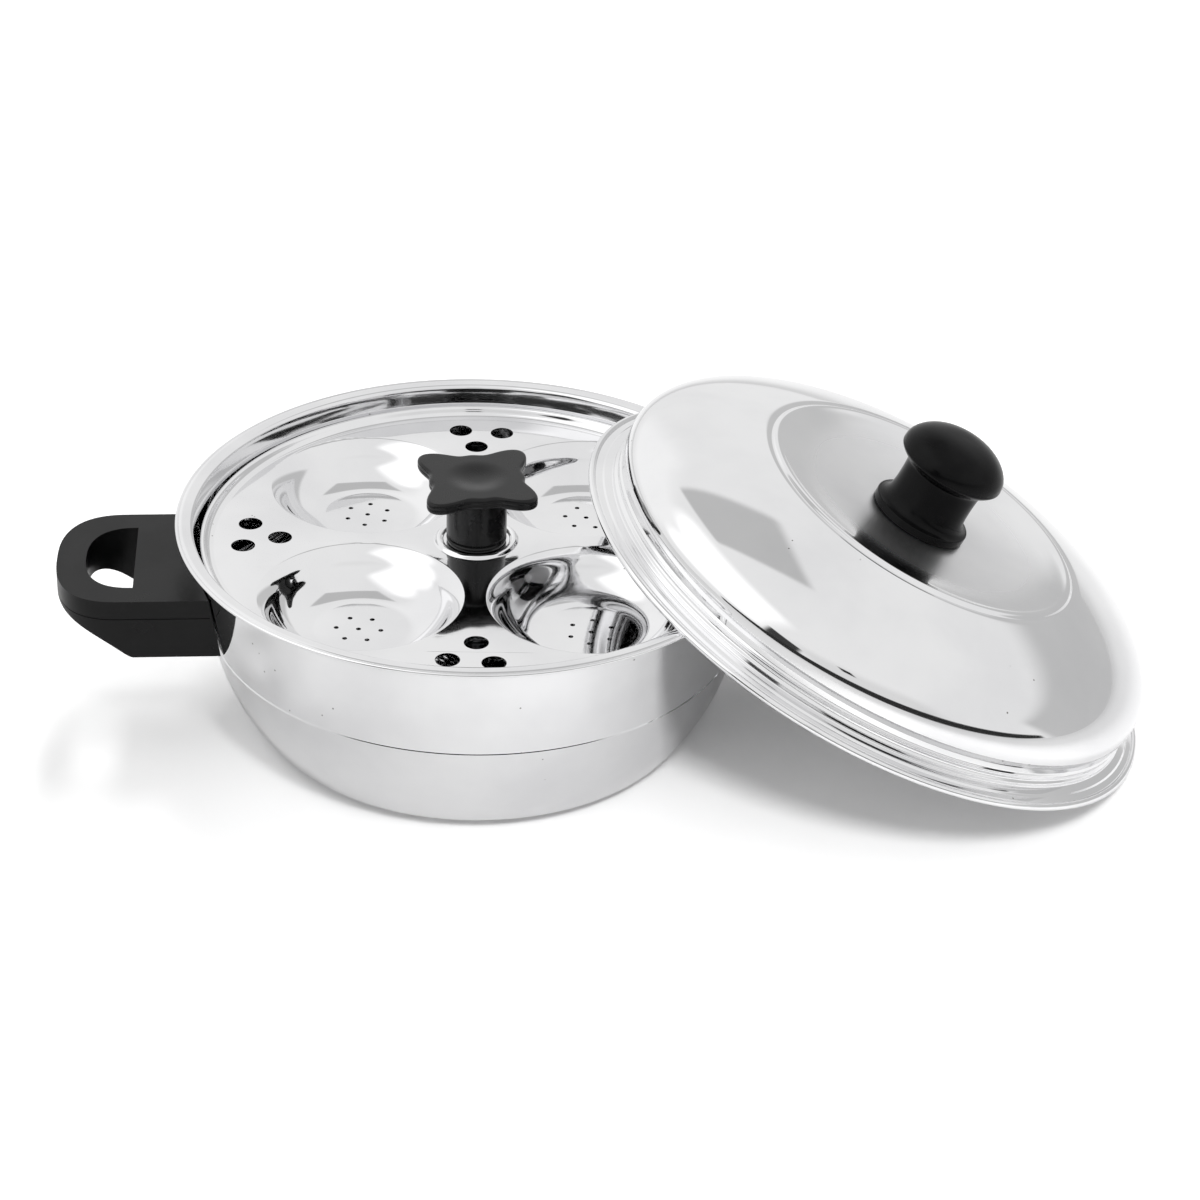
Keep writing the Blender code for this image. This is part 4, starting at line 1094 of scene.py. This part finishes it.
def makeHandle(side, turn):
    h = handle
    top, base, spare = h["top"], h["top"] - h["thickness"], h["spare"]
    piece = prism("handle" + side, handleOutline(wallRadius(base) - h["rootDepth"], 0.0), base, top)
    loop = bowed(h["loopStart"], h["loopEnd"], h["loopHalfWidth"], h["loopFullness"], h["loopCount"])
    combine(piece, prism("loop", loop, base - h["loopSpare"], top + h["loopSpare"]), "DIFFERENCE")
    combine(piece, underCutter(base), "DIFFERENCE")
    combine(piece, wallCutter(base - spare, top + spare), "DIFFERENCE")
    softEdges(piece, h["edge"], h["edgeSteps"], h["sharpAngle"])
    combine(piece, seamCutter(top - h["seamDrop"]), "DIFFERENCE")
    # the screw's recess, in the loop's inner wall
    ends = h["loopStart"] - h["recessDepth"], h["loopStart"] + h["recessFront"]
    recess = rod("recess", h["recessRadius"], *ends, (top + base) / 2)
    combine(piece, recess, "DIFFERENCE")
    evenShading(piece, h["sharpAngle"])
    settle(piece, Matrix.Rotation(turn, 4, "Z"))
    dress(piece, handleBakelite)
    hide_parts("handle_" + side.lower())
    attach(piece, "kadai")


# Nodes that keep their own meshes

keptSkins = {
    "base_cap": capSteel,
    "base_core": baseAluminium,
    "star_knob_insert": insertBrass,
    "lid_knob_insert": insertBrass,
}
platedNodes = (
    "bracket_left", "bracket_right", "handle_screw_left", "handle_screw_right",
    "handle_washer_left", "handle_washer_right", "centre_rod", "plate_spacer",
    "rod_washer", "rod_nut", "lid_knob_washer", "lid_knob_screw",
)
keptSkins.update(dict.fromkeys(platedNodes, platedSteel))

# Studio

cameraLook = {
    "place": (-0.05327, -1.08112, 0.70376),
    "lens": 93.0,
    "sensor": 36.0,
    "downward": 31.01,
    "heading": -5.5,
    "roll": 2.07,
}


def makeCamera():
    c = cameraLook
    data = bpy.data.cameras.new("camera")
    data.lens = c["lens"]
    data.sensor_width = c["sensor"]
    made = bpy.data.objects.new("camera", data)
    scene.collection.objects.link(made)
    aim = Euler((math.radians(90 - c["downward"]), 0.0, math.radians(c["heading"]))).to_matrix().to_4x4()
    roll = Matrix.Rotation(math.radians(c["roll"]), 4, "Z")
    made.matrix_world = Matrix.Translation(c["place"]) @ aim @ roll
    scene.camera = made


lampLook = {
    "overheadPlace": (0.0, 0.62, 1.10),
    "overheadAim": (0.0, 0.0, 0.05),
    "overheadSize": (0.16, 0.75),
    "overheadPower": 4.4,
    "frontPlace": (0.22, -0.90, 1.00),
    "frontAim": (0.15, -0.09, 0.0),
    "frontCone": 26.0,
    "frontBlend": 0.6,
    "frontRadius": 0.12,
    "frontPower": 30.0,
}


def placeLamp(data, place, aim):
    made = bpy.data.objects.new(data.name, data)
    scene.collection.objects.link(made)
    made.location = place
    made.rotation_euler = (Vector(aim) - Vector(place)).to_track_quat("-Z", "Y").to_euler()
    # the steel sees the tent's own panels instead
    made.visible_glossy = False


def makeLamps():
    # a soft box above and behind, and a soft spot that clears the floor before the pan
    look = lampLook
    overhead = bpy.data.lights.new("overhead", "AREA")
    overhead.shape = "RECTANGLE"
    overhead.size, overhead.size_y = look["overheadSize"]
    overhead.energy = look["overheadPower"]
    placeLamp(overhead, look["overheadPlace"], look["overheadAim"])
    front = bpy.data.lights.new("frontSpot", "SPOT")
    front.spot_size = math.radians(look["frontCone"])
    front.spot_blend = look["frontBlend"]
    front.shadow_soft_size = look["frontRadius"]
    front.energy = look["frontPower"]
    placeLamp(front, look["frontPlace"], look["frontAim"])


floorLook = {
    "halfSize": 4.0,
    "paper": (0.80, 0.80, 0.80, 1.0),
    "paperWorn": (0.83, 0.83, 0.83, 1.0),
    "fibreScale": 60.0,
    "seenGain": 1.60,
    "mirroredGain": 1.20,
}


def makeFloor():
    # white paper; the camera and the steel see it brighter, so that only real shadow stays below white
    f = floorLook
    mesh = bmesh.new()
    bmesh.ops.create_grid(mesh, x_segments=8, y_segments=8, size=f["halfSize"])
    floor = meshObject("studioFloor", mesh)
    made, n, surface = newMaterial("floorPaper")
    fibres = n.noise(n.objectSpot(), f["fibreScale"], detail=4.0)
    path = n.add("ShaderNodeLightPath").outputs
    seen = n.math("MULTIPLY", path["Is Camera Ray"], f["seenGain"] - 1.0)
    mirrored = n.math("MULTIPLY", path["Is Glossy Ray"], f["mirroredGain"] - 1.0)
    gain = n.math("ADD", n.math("ADD", seen, mirrored), 1.0)
    gains = n.add("ShaderNodeCombineXYZ", {0: gain, 1: gain, 2: gain}).outputs[0]
    paper = n.mixColour(fibres, f["paper"], f["paperWorn"])
    lifted = n.add("ShaderNodeVectorMath", {0: paper, 1: gains}, operation="MULTIPLY").outputs[0]
    n.feed(lifted, surface["Base Color"])
    n.feed(1.0, surface["Roughness"])
    n.feed(0.0, surface["Specular IOR Level"])
    dress(floor, made)


roomLook = {
    "diffuse": 0.73,
    "tent": 0.91,
    # azimuth from the back wall towards the right, height, width, depth, tilt, edge (degrees), level
    "panels": {
        "leftBank": (-102.0, 44.0, 58.0, 62.0, 0.0, 14.0, 1.36),
        "backGlow": (-40.0, 28.0, 60.0, 44.0, 0.0, 14.0, 1.02),
        "rearShade": (12.0, 64.0, 32.0, 24.0, 14.0, 3.0, 0.56),
        "rightShade": (60.0, 4.0, 78.0, 34.0, 0.0, 7.0, 0.60),
        "frontShade": (176.0, 12.0, 60.0, 44.0, 0.0, 16.0, 0.78),
        "frontPost": (-138.0, 8.0, 15.0, 38.0, -22.0, 3.0, 0.05),
        "frontEdge": (178.0, 6.0, 150.0, 14.0, 0.0, 2.0, 0.03),
        "lens": (181.0, 30.0, 6.0, 5.0, 0.0, 1.5, 0.02),
    },
}


def panelMask(n, way, azimuth, height, width, depth, tilt, edge):
    # a soft-edged oblong on the sky, turned about its own middle
    turn = Euler((math.radians(height), 0.0, math.radians(-azimuth))).to_matrix()
    turn = turn @ Matrix.Rotation(math.radians(tilt), 3, "Y")

    def along(axis):
        product = n.add("ShaderNodeVectorMath", {0: way, 1: tuple(axis)}, operation="DOT_PRODUCT")
        return product.outputs["Value"]

    forward = along(turn.col[1])
    mask = n.math("GREATER_THAN", forward, 0.02)
    soft = math.radians(edge / 2)
    for axis, size in ((turn.col[0], width), (turn.col[2], depth)):
        offset = n.math("ABSOLUTE", n.math("ARCTAN2", along(axis), forward))
        half = math.radians(size / 2)
        mask = n.math("MULTIPLY", mask, n.ramp(offset, half - soft, half + soft, 1.0, 0.0))
    return mask


def makeWorld():
    # white for the camera, even light for matt surfaces, and a tent with soft panels for the steel
    world = bpy.data.worlds.new("studio")
    world.use_nodes = True
    scene.world = world
    n = Nodes(world.node_tree)
    back = world.node_tree.nodes["Background"].inputs
    path = n.add("ShaderNodeLightPath").outputs
    way = n.add("ShaderNodeTexCoord").outputs["Generated"]
    diffuse, room = roomLook["diffuse"], roomLook["tent"]
    for *placing, level in roomLook["panels"].values():
        mask = panelMask(n, way, *placing)
        room = n.math("ADD", room, n.math("MULTIPLY", mask, n.math("SUBTRACT", level, room)))
    extra = n.math("MULTIPLY", path["Is Glossy Ray"], n.math("SUBTRACT", room, diffuse))
    light = n.math("ADD", diffuse, extra)
    tone = n.add("ShaderNodeCombineColor", {0: light, 1: light, 2: light}).outputs[0]
    n.feed(n.mixColour(path["Is Camera Ray"], tone, (1.0, 1.0, 1.0, 1.0)), back["Color"])
    n.feed(1.0, back["Strength"])


scene.view_settings.view_transform = "Standard"
makeCamera()
makeFloor()
makeWorld()
makeLamps()
print("studio made")

makePan()
makePlate("upperPlate", "plate_upper", upperPlate)
makePlate("lowerPlate", "plate_lower", lowerPlate)
print("pan and plates made")
lidFrame = lidPose()
makeLid(lidFrame)
makeLidKnob(lidFrame)
makeStarKnob()
print("lid and knobs made")
makeHandle("Right", 0.0)
makeHandle("Left", math.pi)
for nodeName, skin in keptSkins.items():
    dress(nodes[nodeName], skin)
print("handles and kept nodes made")

bpy.context.view_layer.update()
